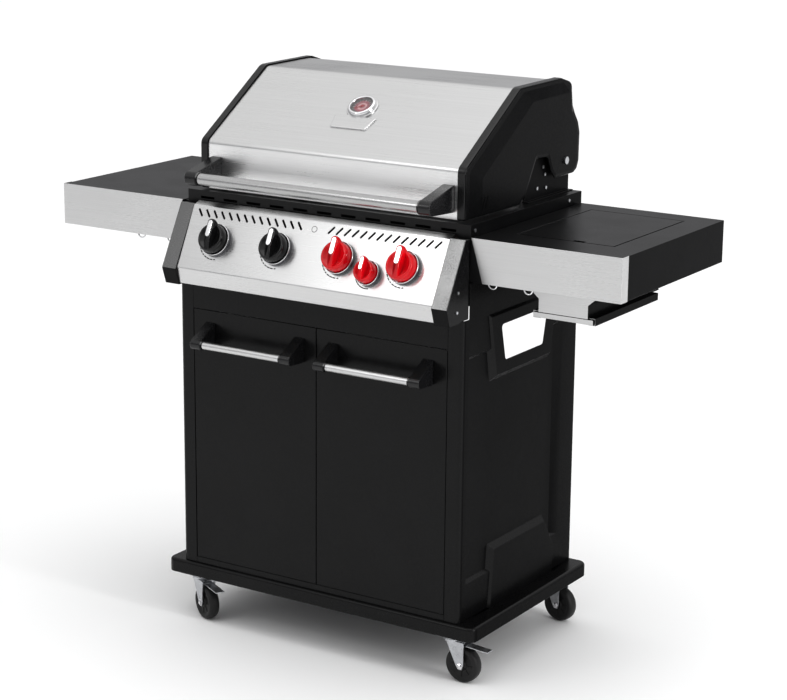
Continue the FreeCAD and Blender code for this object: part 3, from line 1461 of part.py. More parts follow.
def caster_fork():
    """Fork of a caster: crown, kingpin, two legs and the axle, trailing toward +X."""
    crown_top = caster_height - plate_wall - bearing_height - crown_gap
    crown_bottom = crown_top - bearing_height
    leg_in = wheel_width / 2 + fork_gap
    leg_out = leg_in + fork_wall
    crown = rod("z", crown_radius, crown_bottom, crown_top, (0, 0))
    kingpin = rod("z", kingpin_radius, crown_top - 1, caster_height - plate_wall - 1, (0, 0))
    bridge = block(
        (-bridge_front, trail + leg_reach - 2), (-leg_out, leg_out),
        (crown_bottom, crown_bottom + fork_wall),
    )
    toe = wheel_radius - leg_reach
    leg_points = [
        (-bridge_front, crown_bottom + fork_wall), (trail + leg_reach, crown_bottom + fork_wall),
        (trail + leg_reach, wheel_radius + 2), (trail + leg_reach / 2, toe),
        (trail - leg_reach / 2, toe), (trail - leg_reach - 1, wheel_radius - 1),
    ]
    legs = [
        prism("xz", leg_points, low, high) for low, high in ((-leg_out, -leg_in), (leg_in, leg_out))
    ]
    axle = rod("y", axle_radius, -leg_out - axle_end, leg_out + axle_end, (trail, wheel_radius))
    return fuse(crown, kingpin, bridge, *legs, axle)


def brake_pivot_z():
    """Height of a brake pedal's pin above the floor."""
    return 2 * wheel_radius + fork_gap + pedal_hub


def brake_pedal():
    """Brake pedal: a bent plate over the wheel that turns on a pin between the fork's legs."""
    z = brake_pivot_z()
    half = pedal_width / 2
    hub = rod("y", pedal_hub, -half, half, (trail, z))
    tip = trail + pedal_length
    outline = [
        (trail, z - pedal_wall / 2), (tip, z - pedal_fall), (tip, z - pedal_fall + pedal_wall),
        (trail, z + 0.75 * pedal_wall),
    ]
    plate = prism("xz", outline, -half, half)
    return fuse(hub, plate)


def casters():
    """Swivel casters under the shelf's corners; the two front ones have brakes."""
    plates = []
    for place in caster_places():
        name, _, _, _, braked = place
        plate_bottom = caster_height - plate_wall
        half = plate_size / 2
        plate = fuse(
            block((-half, half), (-half, half), (plate_bottom, caster_height)),
            rod("z", crown_radius, plate_bottom - bearing_height, plate_bottom, (0, 0)),
        )
        bore_bottom = plate_bottom - bearing_height - 1
        bore = rod("z", kingpin_radius + running, bore_bottom, plate_bottom, (0, 0))
        stood = group(cut(plate, bore))
        bind(stood, Placement__Base__x=place[1], Placement__Base__y=place[2])
        plates.append(stood)
        sub_part(f"caster_fork_{name}", swivelled(place, caster_fork()))
        wheel = cut(
            rounded(
                rod("y", wheel_radius, -wheel_width / 2, wheel_width / 2, (trail, wheel_radius)),
                wheel_round,
                lambda edge: edge.Closed,
            ),
            rod("y", axle_radius + running, -wheel_width, wheel_width, (trail, wheel_radius)),
        )
        sub_part(f"caster_wheel_{name}", swivelled(place, wheel))
        if braked:
            sub_part(f"caster_brake_{name}", swivelled(place, brake_pedal()))
    sub_part("caster_plates", *plates)


# ---------------------------------------------------------------- fasteners
def fasteners():
    """Hinge bolts with their nuts, and the visible screw heads."""
    hinge = (hinge_y, hinge_z)
    head = lid_cap_outer + bolt_play
    nut = lid_half - lid_wall - bolt_play
    bolt = fuse(
        rod("x", hinge_radius, nut - bolt_nut_height, head + bolt_head_height - 1, hinge),
        rod("x", bolt_head_radius, head, head + bolt_head_height, hinge),
        rod("x", bolt_nut_radius, nut - bolt_nut_height, nut, hinge),
    )
    heads = [bolt]
    bracket_face = lid_half + upright_gap + upright_wall
    for place in from_hinge(BRACKET_SCREWS):
        heads.append(rod("x", screw_radius, bracket_face, bracket_face + screw_height, place))
    for y in (box_front + rim_end / 2, box_back - rim_rear):
        heads.append(rod("x", screw_radius, box_half, box_half + screw_height, (y, rim - slot_drop)))
    for forward, rise in CAP_SCREWS:
        place = (fascia_y - forward, rail_top + rise)
        heads.append(rod("x", small_screw_radius, fascia_outer, fascia_outer + screw_height, place))
    sub_part("fasteners", *heads, *[mirrored(head) for head in heads])


# ---------------------------------------------------------------- build and write
def build():
    base_tray()
    side_panels()
    rear_panel()
    cart_rails()
    door_hardware()
    doors()
    door_handles()
    fascia()
    knobs_and_stems()
    gas_manifold()
    firebox()
    cooking_grates()
    heat_tents()
    main_burners()
    warming_rack()
    grease_tray()
    lid()
    lid_caps()
    hinge_brackets()
    lid_handle()
    thermometer()
    side_tables()
    table_trims()
    table_brackets()
    side_burner_lid()
    side_burner_box()
    side_burner()
    side_burner_tray()
    casters()
    fasteners()


def check():
    """Stop on any object that failed and on any sub-part without a sound shape."""
    failed = [thing.Name for thing in doc.Objects if {"Invalid", "Error"} & set(thing.State)]
    if failed:
        raise SystemExit(f"failed objects: {failed}")
    for thing in sub_parts:
        if thing.Shape.isNull() or not thing.Shape.isValid() or not thing.Shape.Solids:
            raise SystemExit(f"bad shape: {thing.Label}")


build()
doc.recompute()
check()
os.makedirs("parts", exist_ok=True)
for thing in sub_parts:
    thing.Shape.exportStep(f"parts/{thing.Label}.step")
print(len(sub_parts), "sub-parts written")
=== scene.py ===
"""Looks of the gas barbecue grill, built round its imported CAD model.

Lengths are metres in the CAD frame: X across the front, Y from front to back, Z up from the
floor.  Every piece's object sits at the origin, and its place is in its mesh.
"""
import json
import math

import bmesh
import bpy
from mathutils import Matrix, Vector


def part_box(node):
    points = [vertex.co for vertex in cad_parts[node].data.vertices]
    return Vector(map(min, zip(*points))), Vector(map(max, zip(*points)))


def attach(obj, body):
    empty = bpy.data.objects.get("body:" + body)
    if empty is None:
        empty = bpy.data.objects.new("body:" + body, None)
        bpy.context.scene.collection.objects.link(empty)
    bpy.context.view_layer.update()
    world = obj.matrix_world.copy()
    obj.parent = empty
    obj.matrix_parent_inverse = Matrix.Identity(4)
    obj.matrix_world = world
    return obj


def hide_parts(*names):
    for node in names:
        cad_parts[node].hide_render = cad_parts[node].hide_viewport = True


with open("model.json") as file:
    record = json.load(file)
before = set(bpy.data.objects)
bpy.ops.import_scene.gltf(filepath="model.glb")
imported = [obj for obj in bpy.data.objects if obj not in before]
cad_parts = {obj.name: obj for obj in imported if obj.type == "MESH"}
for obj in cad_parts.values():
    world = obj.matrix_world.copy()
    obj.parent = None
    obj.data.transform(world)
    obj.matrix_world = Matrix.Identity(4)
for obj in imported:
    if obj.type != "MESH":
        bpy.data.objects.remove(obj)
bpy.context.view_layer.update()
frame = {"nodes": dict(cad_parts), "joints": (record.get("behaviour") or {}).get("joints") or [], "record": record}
scene = bpy.context.scene
nodes = frame["nodes"]
joints = {joint["name"]: joint for joint in frame["joints"]}
body_of_node = {
    node: body for body, members in frame["record"]["behaviour"]["bodies"].items() for node in members
}
slot_of_node = {part["node"]: part["material_slot"] for part in frame["record"]["subparts"]}
MM = 0.001
SHARP_ANGLE = 34.0


# ---------------------------------------------------------------- materials
class Finish:
    """A material and short calls for the nodes that it needs."""

    def __init__(self, name):
        self.material = bpy.data.materials.new(name)
        self.material.use_nodes = True
        self.nodes = self.material.node_tree.nodes
        self.links = self.material.node_tree.links
        self.shader = self.nodes["Principled BSDF"]
        self.place = self.nodes.new("ShaderNodeTexCoord").outputs["Object"]

    def stretched(self, x, y, z):
        node = self.nodes.new("ShaderNodeMapping")
        node.inputs["Scale"].default_value = (x, y, z)
        self.links.new(self.place, node.inputs["Vector"])
        return node.outputs["Vector"]

    def noise(self, scale, detail=3.0, roughness=0.55, vector=None):
        node = self.nodes.new("ShaderNodeTexNoise")
        node.inputs["Scale"].default_value = scale
        node.inputs["Detail"].default_value = detail
        node.inputs["Roughness"].default_value = roughness
        self.links.new(vector or self.place, node.inputs["Vector"])
        return node.outputs["Fac"]

    def spread(self, value, low, high, start=0.3, end=0.7):
        """Map a value between start and end to the range from low to high."""
        node = self.nodes.new("ShaderNodeMapRange")
        for name, number in (("From Min", start), ("From Max", end), ("To Min", low), ("To Max", high)):
            node.inputs[name].default_value = number
        self.links.new(value, node.inputs["Value"])
        return node.outputs["Result"]

    def joined(self, kind, one, other):
        node = self.nodes.new("ShaderNodeMath")
        node.operation = kind
        for index, value in enumerate((one, other)):
            if isinstance(value, (int, float)):
                node.inputs[index].default_value = value
            else:
                self.links.new(value, node.inputs[index])
        return node.outputs["Value"]

    def blend(self, value, dark, light):
        """Colour between two colours, picked by a value from 0 to 1."""
        node = self.nodes.new("ShaderNodeMix")
        node.data_type = "RGBA"
        node.inputs["A"].default_value = (*dark, 1)
        node.inputs["B"].default_value = (*light, 1)
        self.links.new(value, node.inputs["Factor"])
        return node.outputs["Result"]

    def bump(self, height, distance, strength=0.5):
        node = self.nodes.new("ShaderNodeBump")
        node.inputs["Strength"].default_value = strength
        node.inputs["Distance"].default_value = distance
        self.links.new(height, node.inputs["Height"])
        self.links.new(node.outputs["Normal"], self.shader.inputs["Normal"])

    def drive(self, socket, value):
        self.links.new(value, self.shader.inputs[socket])

    def set(self, **sockets):
        for name, value in sockets.items():
            self.shader.inputs[name.replace("_", " ")].default_value = value


def grey(value):
    return (value, value, value)


def powder_coat(name, colour, roughness, specular, dull=0.25, ior=1.5, upward=False):
    """Baked powder paint: a fine orange peel, small changes in gloss and duller ends.

    With upward=True only faces that lean up are glossy.
    """
    paint = Finish(name)
    cloud = paint.noise(9.0, 4.0)
    peel = paint.noise(650.0, 2.0)
    dark = tuple(0.75 * part for part in colour)
    light = tuple(1.25 * part for part in colour)
    paint.drive("Base Color", paint.blend(paint.spread(cloud, 0.0, 1.0), dark, light))
    gloss = paint.joined("ADD", paint.spread(cloud, -0.04, 0.04), paint.spread(peel, -0.04, 0.04))
    paint.drive("Roughness", paint.joined("ADD", gloss, roughness))
    facing = paint.nodes.new("ShaderNodeTexCoord").outputs["Normal"]
    split = paint.nodes.new("ShaderNodeSeparateXYZ")
    paint.links.new(facing, split.inputs["Vector"])
    if upward:
        level = paint.spread(split.outputs["Z"], dull * specular, specular, 0.15, 0.42)
    else:
        sideways = paint.joined("ABSOLUTE", split.outputs["X"], 0.0)
        level = paint.spread(sideways, specular, dull * specular, 0.80, 0.98)
    paint.drive("Specular IOR Level", level)
    paint.set(IOR=ior)
    paint.bump(peel, 0.00012, 0.35)
    return paint.material


def brushed_steel(name, colour, roughness, contrast):
    """Stainless sheet with a fine grain along X."""
    steel = Finish(name)
    hairs = steel.noise(1.0, 2.0, 0.6, steel.stretched(7.0, 1400.0, 1400.0))
    streaks = steel.noise(1.0, 3.0, 0.5, steel.stretched(1.3, 260.0, 260.0))
    smudges = steel.noise(5.0, 3.0)
    value = steel.joined("ADD", steel.spread(hairs, 0.0, 0.6), steel.spread(streaks, 0.0, 0.4))
    dark = tuple(part * (1 - contrast) for part in colour)
    light = tuple(min(1.0, part * (1 + contrast)) for part in colour)
    steel.drive("Base Color", steel.blend(value, dark, light))
    gloss = steel.joined(
        "ADD", steel.spread(value, -0.05, 0.05, 0.0, 1.0), steel.spread(smudges, -0.03, 0.03)
    )
    steel.drive("Roughness", steel.joined("ADD", gloss, roughness))
    steel.set(Metallic=1.0, Anisotropic=0.55)
    turn = steel.nodes.new("ShaderNodeTangent")
    turn.direction_type = "RADIAL"
    turn.axis = "X"
    steel.links.new(turn.outputs["Tangent"], steel.shader.inputs["Tangent"])
    steel.bump(value, 0.00004, 0.25)
    return steel.material


def plated(name, colour, roughness, cloudiness):
    """Zinc or chrome plate with faint clouds in its gloss."""
    plate = Finish(name)
    cloud = plate.noise(70.0, 4.0)
    grit = plate.noise(900.0, 2.0)
    dark = tuple(part * (1 - cloudiness) for part in colour)
    plate.drive("Base Color", plate.blend(plate.spread(cloud, 0.0, 1.0), dark, colour))
    gloss = plate.spread(cloud, -0.3 * roughness, 0.3 * roughness)
    plate.drive("Roughness", plate.joined("ADD", gloss, roughness))
    plate.set(Metallic=1.0)
    plate.bump(grit, 0.00003, 0.2)
    return plate.material


def moulded(name, colour, roughness, specular, coat=0.0, grain=420.0):
    """Moulded plastic or rubber: faint texture of the mould and uneven gloss."""
    plastic = Finish(name)
    texture = plastic.noise(grain, 2.0)
    cloud = plastic.noise(28.0, 3.0)
    dark = tuple(0.85 * part for part in colour)
    light = tuple(min(1.0, 1.12 * part) for part in colour)
    plastic.drive("Base Color", plastic.blend(plastic.spread(cloud, 0.0, 1.0), dark, light))
    gloss = plastic.joined(
        "ADD", plastic.spread(texture, -0.05, 0.05), plastic.spread(cloud, -0.04, 0.04)
    )
    plastic.drive("Roughness", plastic.joined("ADD", gloss, roughness))
    plastic.set(Specular_IOR_Level=specular, Coat_Weight=coat, Coat_Roughness=0.05, Coat_IOR=1.5)
    plastic.bump(texture, 0.00008, 0.25)
    return plastic.material


def cast_iron(name, colour, roughness):
    """Enamelled casting: a coarse skin with pits."""
    iron = Finish(name)
    skin = iron.noise(240.0, 5.0, 0.6)
    cloud = iron.noise(16.0, 3.0)
    light = tuple(1.7 * part for part in colour)
    iron.drive("Base Color", iron.blend(iron.spread(cloud, 0.0, 1.0), colour, light))
    iron.drive("Roughness", iron.spread(skin, roughness - 0.08, roughness + 0.12))
    iron.set(Specular_IOR_Level=0.35)
    iron.bump(skin, 0.0004, 0.5)
    return iron.material


def dial_print(name):
    """Thermometer face: rings of dark red and pink about the dial's middle."""
    face = Finish(name)
    centre = face.nodes.new("ShaderNodeMapping")
    centre.vector_type = "POINT"
    centre.inputs["Location"].default_value = -GAUGE_PLACE
    face.links.new(face.place, centre.inputs["Vector"])
    length = face.nodes.new("ShaderNodeVectorMath")
    length.operation = "LENGTH"
    face.links.new(centre.outputs["Vector"], length.inputs[0])
    ramp = face.nodes.new("ShaderNodeValToRGB")
    reach = face.spread(length.outputs["Value"], 0.0, 1.0, 0.0, DIAL_RADIUS)
    face.links.new(reach, ramp.inputs["Fac"])
    stops = (
        (0.0, (0.30, 0.05, 0.07)), (0.30, (0.52, 0.13, 0.17)), (0.36, (0.80, 0.42, 0.44)),
        (0.46, (0.80, 0.42, 0.44)), (0.52, (0.45, 0.09, 0.13)), (0.72, (0.38, 0.08, 0.11)),
        (0.78, (0.10, 0.04, 0.05)), (1.0, (0.04, 0.03, 0.03)),
    )
    ramp.color_ramp.elements[0].position = stops[0][0]
    ramp.color_ramp.elements[1].position = stops[-1][0]
    ramp.color_ramp.elements[0].color = (*stops[0][1], 1)
    ramp.color_ramp.elements[1].color = (*stops[-1][1], 1)
    for place, colour in stops[1:-1]:
        ramp.color_ramp.elements.new(place).color = (*colour, 1)
    face.drive("Base Color", ramp.outputs["Color"])
    face.drive("Roughness", face.spread(face.noise(500.0), 0.30, 0.42))
    return face.material


def clear_glass(name):
    """Clear glass with a trace of haze."""
    glass = Finish(name)
    glass.set(Base_Color=(1.0, 1.0, 1.0, 1.0), Transmission_Weight=1.0, IOR=1.45)
    glass.drive("Roughness", glass.spread(glass.noise(90.0), 0.0, 0.03))
    return glass.material


# ---------------------------------------------------------------- places taken from the frame
gauge_joint = joints["thermometer_needle_turn"]
GAUGE_PLACE = Vector(gauge_joint["pos_m"])
GAUGE_OUT = Vector(gauge_joint["axis"]).normalized()
HINGE = Vector(joints["lid_hinge"]["pos_m"])
FASCIA_OUT = Vector(joints["valve_left_turn"]["axis"]).normalized()
DIAL_RADIUS = 23 * MM
KNOBS = ("far_left", "left", "right", "far_right", "side_burner")
CASTERS = ("front_right", "front_left", "back_right", "back_left")


def upright_frame(place, out):
    """Matrix of a face: X across, Y up its slope and Z out of it, with its origin at place."""
    across = Vector((1, 0, 0))
    up = out.cross(across).normalized()
    return Matrix.Translation(place) @ Matrix((across, up, out)).transposed().to_4x4()


RECIPES = {
    "cart_black": (powder_coat, (0.0045, 0.0045, 0.0048), 0.27, 0.24, 0.12),
    "black_powder": (powder_coat, (0.0070, 0.0070, 0.0075), 0.32, 0.26, 0.10),
    "cap_black": (powder_coat, (0.0065, 0.0065, 0.0070), 0.28, 0.45, 0.10),
    "brushed_steel": (brushed_steel, grey(0.63), 0.30, 0.05),
    "fascia_steel": (brushed_steel, grey(0.64), 0.30, 0.05),
    "zinc_steel": (plated, (0.62, 0.63, 0.65), 0.32, 0.25),
    "chrome_trim": (plated, (0.82, 0.82, 0.83), 0.12, 0.08),
    "cast_black": (cast_iron, (0.018, 0.018, 0.018), 0.55),
    "black_plastic": (moulded, (0.010, 0.010, 0.011), 0.24, 0.5),
    "gloss_black": (moulded, (0.007, 0.007, 0.0075), 0.12, 0.34, 0.25, 300.0),
    "red_plastic": (moulded, (0.68, 0.002, 0.010), 0.12, 0.34, 0.25, 300.0),
    "matte_black_plastic": (powder_coat, (0.008, 0.008, 0.0085), 0.24, 0.9, 0.05, 1.9, True),
    # Lighter copy of the lid's brushed steel for its flat front face: painted light.
    "bright_steel": (brushed_steel, grey(0.86), 0.30, 0.04),
    # Darker copy of the brushed steel for the lid handle bar: painted shade.
    "bar_steel": (brushed_steel, grey(0.46), 0.26, 0.05),
    # Chrome darkened to stand in for the shade beside each knob: painted shade.
    "smoked_chrome": (plated, (0.16, 0.16, 0.17), 0.16, 0.1),
    "tyre_black": (moulded, (0.012, 0.012, 0.012), 0.48, 0.4, 0.0, 260.0),
    "brass_parts": (plated, (0.78, 0.60, 0.30), 0.30, 0.2),
    "needle_red": (moulded, (0.60, 0.02, 0.02), 0.35, 0.5),
    "printed_black": (moulded, (0.015, 0.015, 0.015), 0.50, 0.4),
    "pointer_silver": (plated, (0.86, 0.86, 0.87), 0.16, 0.06),
    "dial_print": (dial_print,),
    "clear_glass": (clear_glass,),
}
FINISHES = {name: make(name, *values) for name, (make, *values) in RECIPES.items()}


# ---------------------------------------------------------------- mesh helpers
def add_piece(name, bm, body, finish, replaces=(), sharp=SHARP_ANGLE):
    """Turn a bmesh into a shown piece that rides on a body."""
    bmesh.ops.remove_doubles(bm, verts=bm.verts, dist=1e-6)
    bmesh.ops.recalc_face_normals(bm, faces=bm.faces)
    mesh = bpy.data.meshes.new(name)
    bm.to_mesh(mesh)
    bm.free()
    mesh.materials.append(FINISHES[finish])
    mesh.shade_smooth()
    mesh.set_sharp_from_angle(angle=math.radians(sharp))
    thing = bpy.data.objects.new(name, mesh)
    scene.collection.objects.link(thing)
    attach(thing, body)
    if replaces:
        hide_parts(*replaces)
    return thing


def eased(thing, width, segments=2):
    """Round a piece's sharp edges and keep its flat faces flat in the shading."""
    edge = thing.modifiers.new("eased edges", "BEVEL")
    edge.width = width
    edge.segments = segments
    edge.limit_method = "ANGLE"
    edge.angle_limit = math.radians(SHARP_ANGLE)
    edge.use_clamp_overlap = True
    return flat_shaded(thing)


def flat_shaded(thing):
    """Keep a piece's large faces flat in the shading."""
    normals = thing.modifiers.new("flat faces", "WEIGHTED_NORMAL")
    normals.keep_sharp = True
    return thing


def carved(thing, cutter):
    """Cut a bmesh out of a piece at once, and keep its material."""
    mesh = bpy.data.meshes.new("cutter")
    bmesh.ops.recalc_face_normals(cutter, faces=cutter.faces)
    cutter.to_mesh(mesh)
    cutter.free()
    tool = bpy.data.objects.new("cutter", mesh)
    scene.collection.objects.link(tool)
    cut = thing.modifiers.new("carve", "BOOLEAN")
    cut.object = tool
    cut.solver = "EXACT"
    graph = bpy.context.evaluated_depsgraph_get()
    result = bpy.data.meshes.new_from_object(thing.evaluated_get(graph))
    thing.modifiers.clear()
    result.name = thing.data.name + "_carved"
    thing.data = result
    result.shade_smooth()
    result.set_sharp_from_angle(angle=math.radians(SHARP_ANGLE))
    bpy.data.objects.remove(tool)


def skin(bm, rings, ends=True, closed=True, matrix=None):
    """Quads between rings of points; every ring has the same number of points."""
    rows = [[bm.verts.new(matrix @ Vector(p) if matrix else p) for p in ring] for ring in rings]
    count = len(rows[0])
    for low, high in zip(rows, rows[1:]):
        for index in range(count if closed else count - 1):
            after = (index + 1) % count
            bm.faces.new((low[index], low[after], high[after], high[index]))
    if ends:
        bm.faces.new(list(reversed(rows[0])))
        bm.faces.new(rows[-1])


def turned(bm, profile, matrix, segments=64, ends=True):
    """Turn a profile of (radius, height) points about the Z axis of a matrix.

    Without ends the profile is closed on itself, so it makes a ring with a hole.
    """
    if not ends:
        profile = [*profile, profile[0]]
    rings = []
    for radius, height in profile:
        ring = []
        for step in range(segments):
            angle = 2 * math.pi * step / segments
            ring.append((radius * math.cos(angle), radius * math.sin(angle), height))
        rings.append(ring)
    skin(bm, rings, ends, matrix=matrix)


def lathe(bm, profile, matrix, segments=64, ends=True):
    """turned() for a profile written in millimetres."""
    turned(bm, [(radius * MM, height * MM) for radius, height in profile], matrix, segments, ends)


def along_axis(place, axis):
    """Matrix that puts Z along an axis at a place."""
    return Matrix.Translation(place) @ Vector(axis).to_track_quat("Z", "Y").to_matrix().to_4x4()


def arc_corner(before, corner, after, radius, steps):
    """Points of an arc that rounds a corner between two straight runs."""
    corner = Vector(corner)
    one = Vector(before) - corner
    two = Vector(after) - corner
    if min(one.length, two.length) < 1e-5:
        return [corner] * (steps + 1)
    half = one.angle(two) / 2
    cutoff = min(radius / math.tan(half), 0.49 * one.length, 0.49 * two.length)
    real = cutoff * math.tan(half)
    centre = corner + (one.normalized() + two.normalized()).normalized() * (real / math.sin(half))
    start = corner + one.normalized() * cutoff - centre
    end = corner + two.normalized() * cutoff - centre
    if min(start.length, end.length) < 1e-7 or start.angle(end) < 1e-4:
        return [corner] * (steps + 1)
    sweep = start.angle(end)
    points = []
    for step in range(steps + 1):
        share = step / steps
        mix = start * math.sin((1 - share) * sweep) + end * math.sin(share * sweep)
        points.append(centre + mix / math.sin(sweep))
    return points


def rounded_line(points, radii, steps=7, closed=False):
    """A line of straight runs whose corners are arcs; a radius of zero keeps a corner."""
    line = []
    count = len(points)
    for index, (point, radius) in enumerate(zip(points, radii)):
        is_end = not closed and index in (0, count - 1)
        if is_end or radius <= 0:
            line += [Vector(point)] * (1 if is_end else steps + 1)
        else:
            line += arc_corner(points[index - 1], point, points[(index + 1) % count], radius, steps)
    return line


def inset(points, widths, closed=True):
    """Move each edge of an outline to its left by its own width and join the edges again."""
    count = len(points)
    lines = []
    for index in range(count if closed else count - 1):
        a, b = Vector(points[index]), Vector(points[(index + 1) % count])
        way = (b - a).normalized()
        side = Vector((-way.y, way.x))
        lines.append((a + side * widths[index], way))
    corners = []
    for index in range(count):
        if not closed and index == 0:
            corners.append(lines[0][0])
            continue
        if not closed and index == count - 1:
            last = Vector(points[-1])
            way = lines[-1][1]
            corners.append(last + Vector((-way.y, way.x)) * widths[index - 1])
            continue
        (p, u), (q, v) = lines[index - 1], lines[index % len(lines)]
        cross = u.x * v.y - u.y * v.x
        if abs(cross) < 1e-6:
            corners.append(q)
        else:
            reach = ((q.x - p.x) * v.y - (q.y - p.y) * v.x) / cross
            corners.append(p + u * reach)
    return corners


def sheet_band(bm, outer, inner, low, high):
    """A bent sheet between two lines drawn in Y and Z, from x = low to x = high."""
    loop = [*outer, *reversed(inner)]
    skin(bm, [[(x, p[0], p[1]) for p in loop] for x in (low, high)], ends=False)
    for x in (low, high):
        rows = [[bm.verts.new((x, p[0], p[1])) for p in line] for line in (outer, inner)]
        for index in range(len(outer) - 1):
            bm.faces.new((rows[0][index], rows[0][index + 1], rows[1][index + 1], rows[1][index]))


def softened(node, width, backing=None):
    """A copy of a CAD node with its sharp edges rounded, which stands for the node.

    With a backing, the faces that don't look to the front get that finish.
    """
    bm = bmesh.new()
    bm.from_mesh(nodes[node].data)
    bmesh.ops.remove_doubles(bm, verts=bm.verts, dist=1e-5)
    bmesh.ops.dissolve_limit(bm, angle_limit=math.radians(0.4), verts=bm.verts, edges=bm.edges)
    slot = slot_of_node[node]
    thing = add_piece(f"{node}_{slot}", bm, body_of_node[node], slot, [node])
    if backing:
        thing.data.materials.append(FINISHES[backing])
        for face in thing.data.polygons:
            if face.normal.y > -0.5:
                face.material_index = 1
    eased(thing, width)


# ---------------------------------------------------------------- lid
LID_WALL = 1 * MM
LID_FRONT_HEIGHT = 98.8 * MM
LID_SLOPE_HEIGHT = 131.9 * MM
LID_TOP_FRONT = 183 * MM
LID_TOP_BACK = 17 * MM
LID_BACK_REACH = 23 * MM
LID_BACK_TOP = 105 * MM
LID_BACK_BOTTOM = 15 * MM
CAP_PROUD = 3 * MM
# Outlines of the cap and of the lid's underside, in mm behind and above the hinge.
BAND_BACK = ((28, 158), (34, 113), (36, 96))
CHEEK_BACK = ((53, 74), (61, 52), (60, -8), (52, -24), (38, -31))
LID_UNDERSIDE = ((10, -31), (-42, -31), (-58, -14), (-74, 17), (-120, 20), (-163, -50))
UNDERSIDE_FRONT = 190 * MM
# Along the cap's outline: width of the bevelled border and radius of each corner, in mm.
CAP_BORDERS = (56, 51, 32, 22, 12, 12, 9, 9, 9, 8, 7, 6, 6, 6, 6, 6, 6, 6, 4)
CAP_ROUNDS = (3, 18, 26, 13, 14, 10, 6, 8, 10, 12, 10, 8, 12, 12, 12, 14, 14, 16, 8)
BAND_CORNERS = 6
lid_low, lid_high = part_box("lid_shell")
lower_bend = lid_low.z + LID_FRONT_HEIGHT
upper_bend = lower_bend + LID_SLOPE_HEIGHT


def from_hinge(places):
    """Points in Y and Z from places in mm behind and above the lid's hinge."""
    return [(HINGE.y + y * MM, HINGE.z + z * MM) for y, z in places]


def lid_shell():
    """Brushed sheet with rounded bends, and a flat end inside each cap."""
    line = [
        (lid_low.y, lid_low.z), (lid_low.y, lower_bend),
        (HINGE.y - LID_TOP_FRONT, upper_bend), (HINGE.y - LID_TOP_BACK, upper_bend + 2 * MM),
        (HINGE.y + LID_BACK_REACH, HINGE.z + LID_BACK_TOP),
        (HINGE.y + LID_BACK_REACH, HINGE.z - LID_BACK_BOTTOM),
    ]
    radii = [0, 16 * MM, 24 * MM, 26 * MM, 14 * MM, 0]
    inner = inset(line, [-LID_WALL] * (len(line) - 1), closed=False)
    outer_line = rounded_line(line, radii)
    inner_line = rounded_line(inner, [max(radius - LID_WALL, 0) for radius in radii])
    bm = bmesh.new()
    sheet_band(bm, outer_line, inner_line, lid_low.x, lid_high.x)
    underside = [*from_hinge(LID_UNDERSIDE), (HINGE.y - UNDERSIDE_FRONT, lid_low.z)]
    edge = [*inner_line, *[Vector(place) for place in underside]]
    for low, high in ((lid_low.x, lid_low.x + LID_WALL), (lid_high.x - LID_WALL, lid_high.x)):
        skin(bm, [[(x, p[0], p[1]) for p in edge] for x in (low, high)])
    thing = add_piece("lid_shell_steel", bm, "lid", "brushed_steel", ["lid_shell"], 50)
    # The lid's flat front face gets the lighter copy of the steel, which is painted light on that face.
    thing.data.materials.append(FINISHES["bright_steel"])
    for face in thing.data.polygons:
        if face.center.y < lid_low.y + 3 * MM and face.normal.y < -0.98:
            face.material_index = 1
    flat_shaded(thing)


def lid_cap(way, name):
    """Cast end cap: a band round the steel, a bevelled border and a raised panel."""
    low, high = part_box(f"lid_cap_{name}")
    outer = [
        (low.y, low.z), (low.y, lower_bend + 1 * MM),
        (HINGE.y - LID_TOP_FRONT - 1.5 * MM, upper_bend + CAP_PROUD),
        (HINGE.y - LID_TOP_BACK + 1 * MM, high.z),
        *from_hinge(BAND_BACK + CHEEK_BACK + LID_UNDERSIDE),
        (HINGE.y - UNDERSIDE_FRONT, low.z),
    ]
    panel = inset(outer, [-border * MM for border in CAP_BORDERS])
    lip = inset(outer, [-CAP_PROUD] * len(outer))
    corner = inset(outer, [-1.0 * MM] * len(outer))
    steps = 7
    radii = [radius * MM for radius in CAP_ROUNDS]
    inside, outside = (low.x, high.x) if way > 0 else (-high.x, -low.x)

    def ring(points, rounds, band_x, plate_x):
        line = rounded_line(points, rounds, steps, closed=True)
        on_band = BAND_CORNERS * (steps + 1)
        return [
            (way * (band_x if index < on_band else plate_x), p[0], p[1])
            for index, p in enumerate(line)
        ]

    smaller = [max(radius - CAP_PROUD, 1 * MM) for radius in radii]
    panel_rounds = [max(0.6 * radius, 2 * MM) for radius in radii]
    rings = [
        ring(lip, smaller, outside - 4 * MM, outside - 3.6 * MM),
        ring(lip, smaller, inside, outside - 3.8 * MM),
        ring(outer, radii, inside, outside - 3.7 * MM),
        ring(outer, radii, outside - 8 * MM, outside - 2.4 * MM),
        ring(corner, radii, outside - 6 * MM, outside - 1.2 * MM),
        ring(lip, smaller, outside - 5 * MM, outside - 0.9 * MM),
        ring(panel, panel_rounds, outside - 0.6 * MM, outside - 0.2 * MM),
        ring(inset(panel, [-1.5 * MM] * len(panel)), panel_rounds, outside, outside),
    ]
    bm = bmesh.new()
    skin(bm, rings)
    thing = add_piece(
        f"lid_cap_{name}_casting", bm, "lid", "cap_black", [f"lid_cap_{name}"], 40
    )
    groove = bmesh.new()
    for step in range(3):
        middle = Vector((way * outside, low.y + (52 + 11 * step) * MM, low.z + 26 * MM))
        slant = Vector((0, 5 * MM, 11 * MM))
        add_capsule(groove, middle - slant, middle + slant, Vector((way, 0, 0)), 1.6 * MM, 1.2 * MM)
    carved(thing, groove)
    flat_shaded(thing)


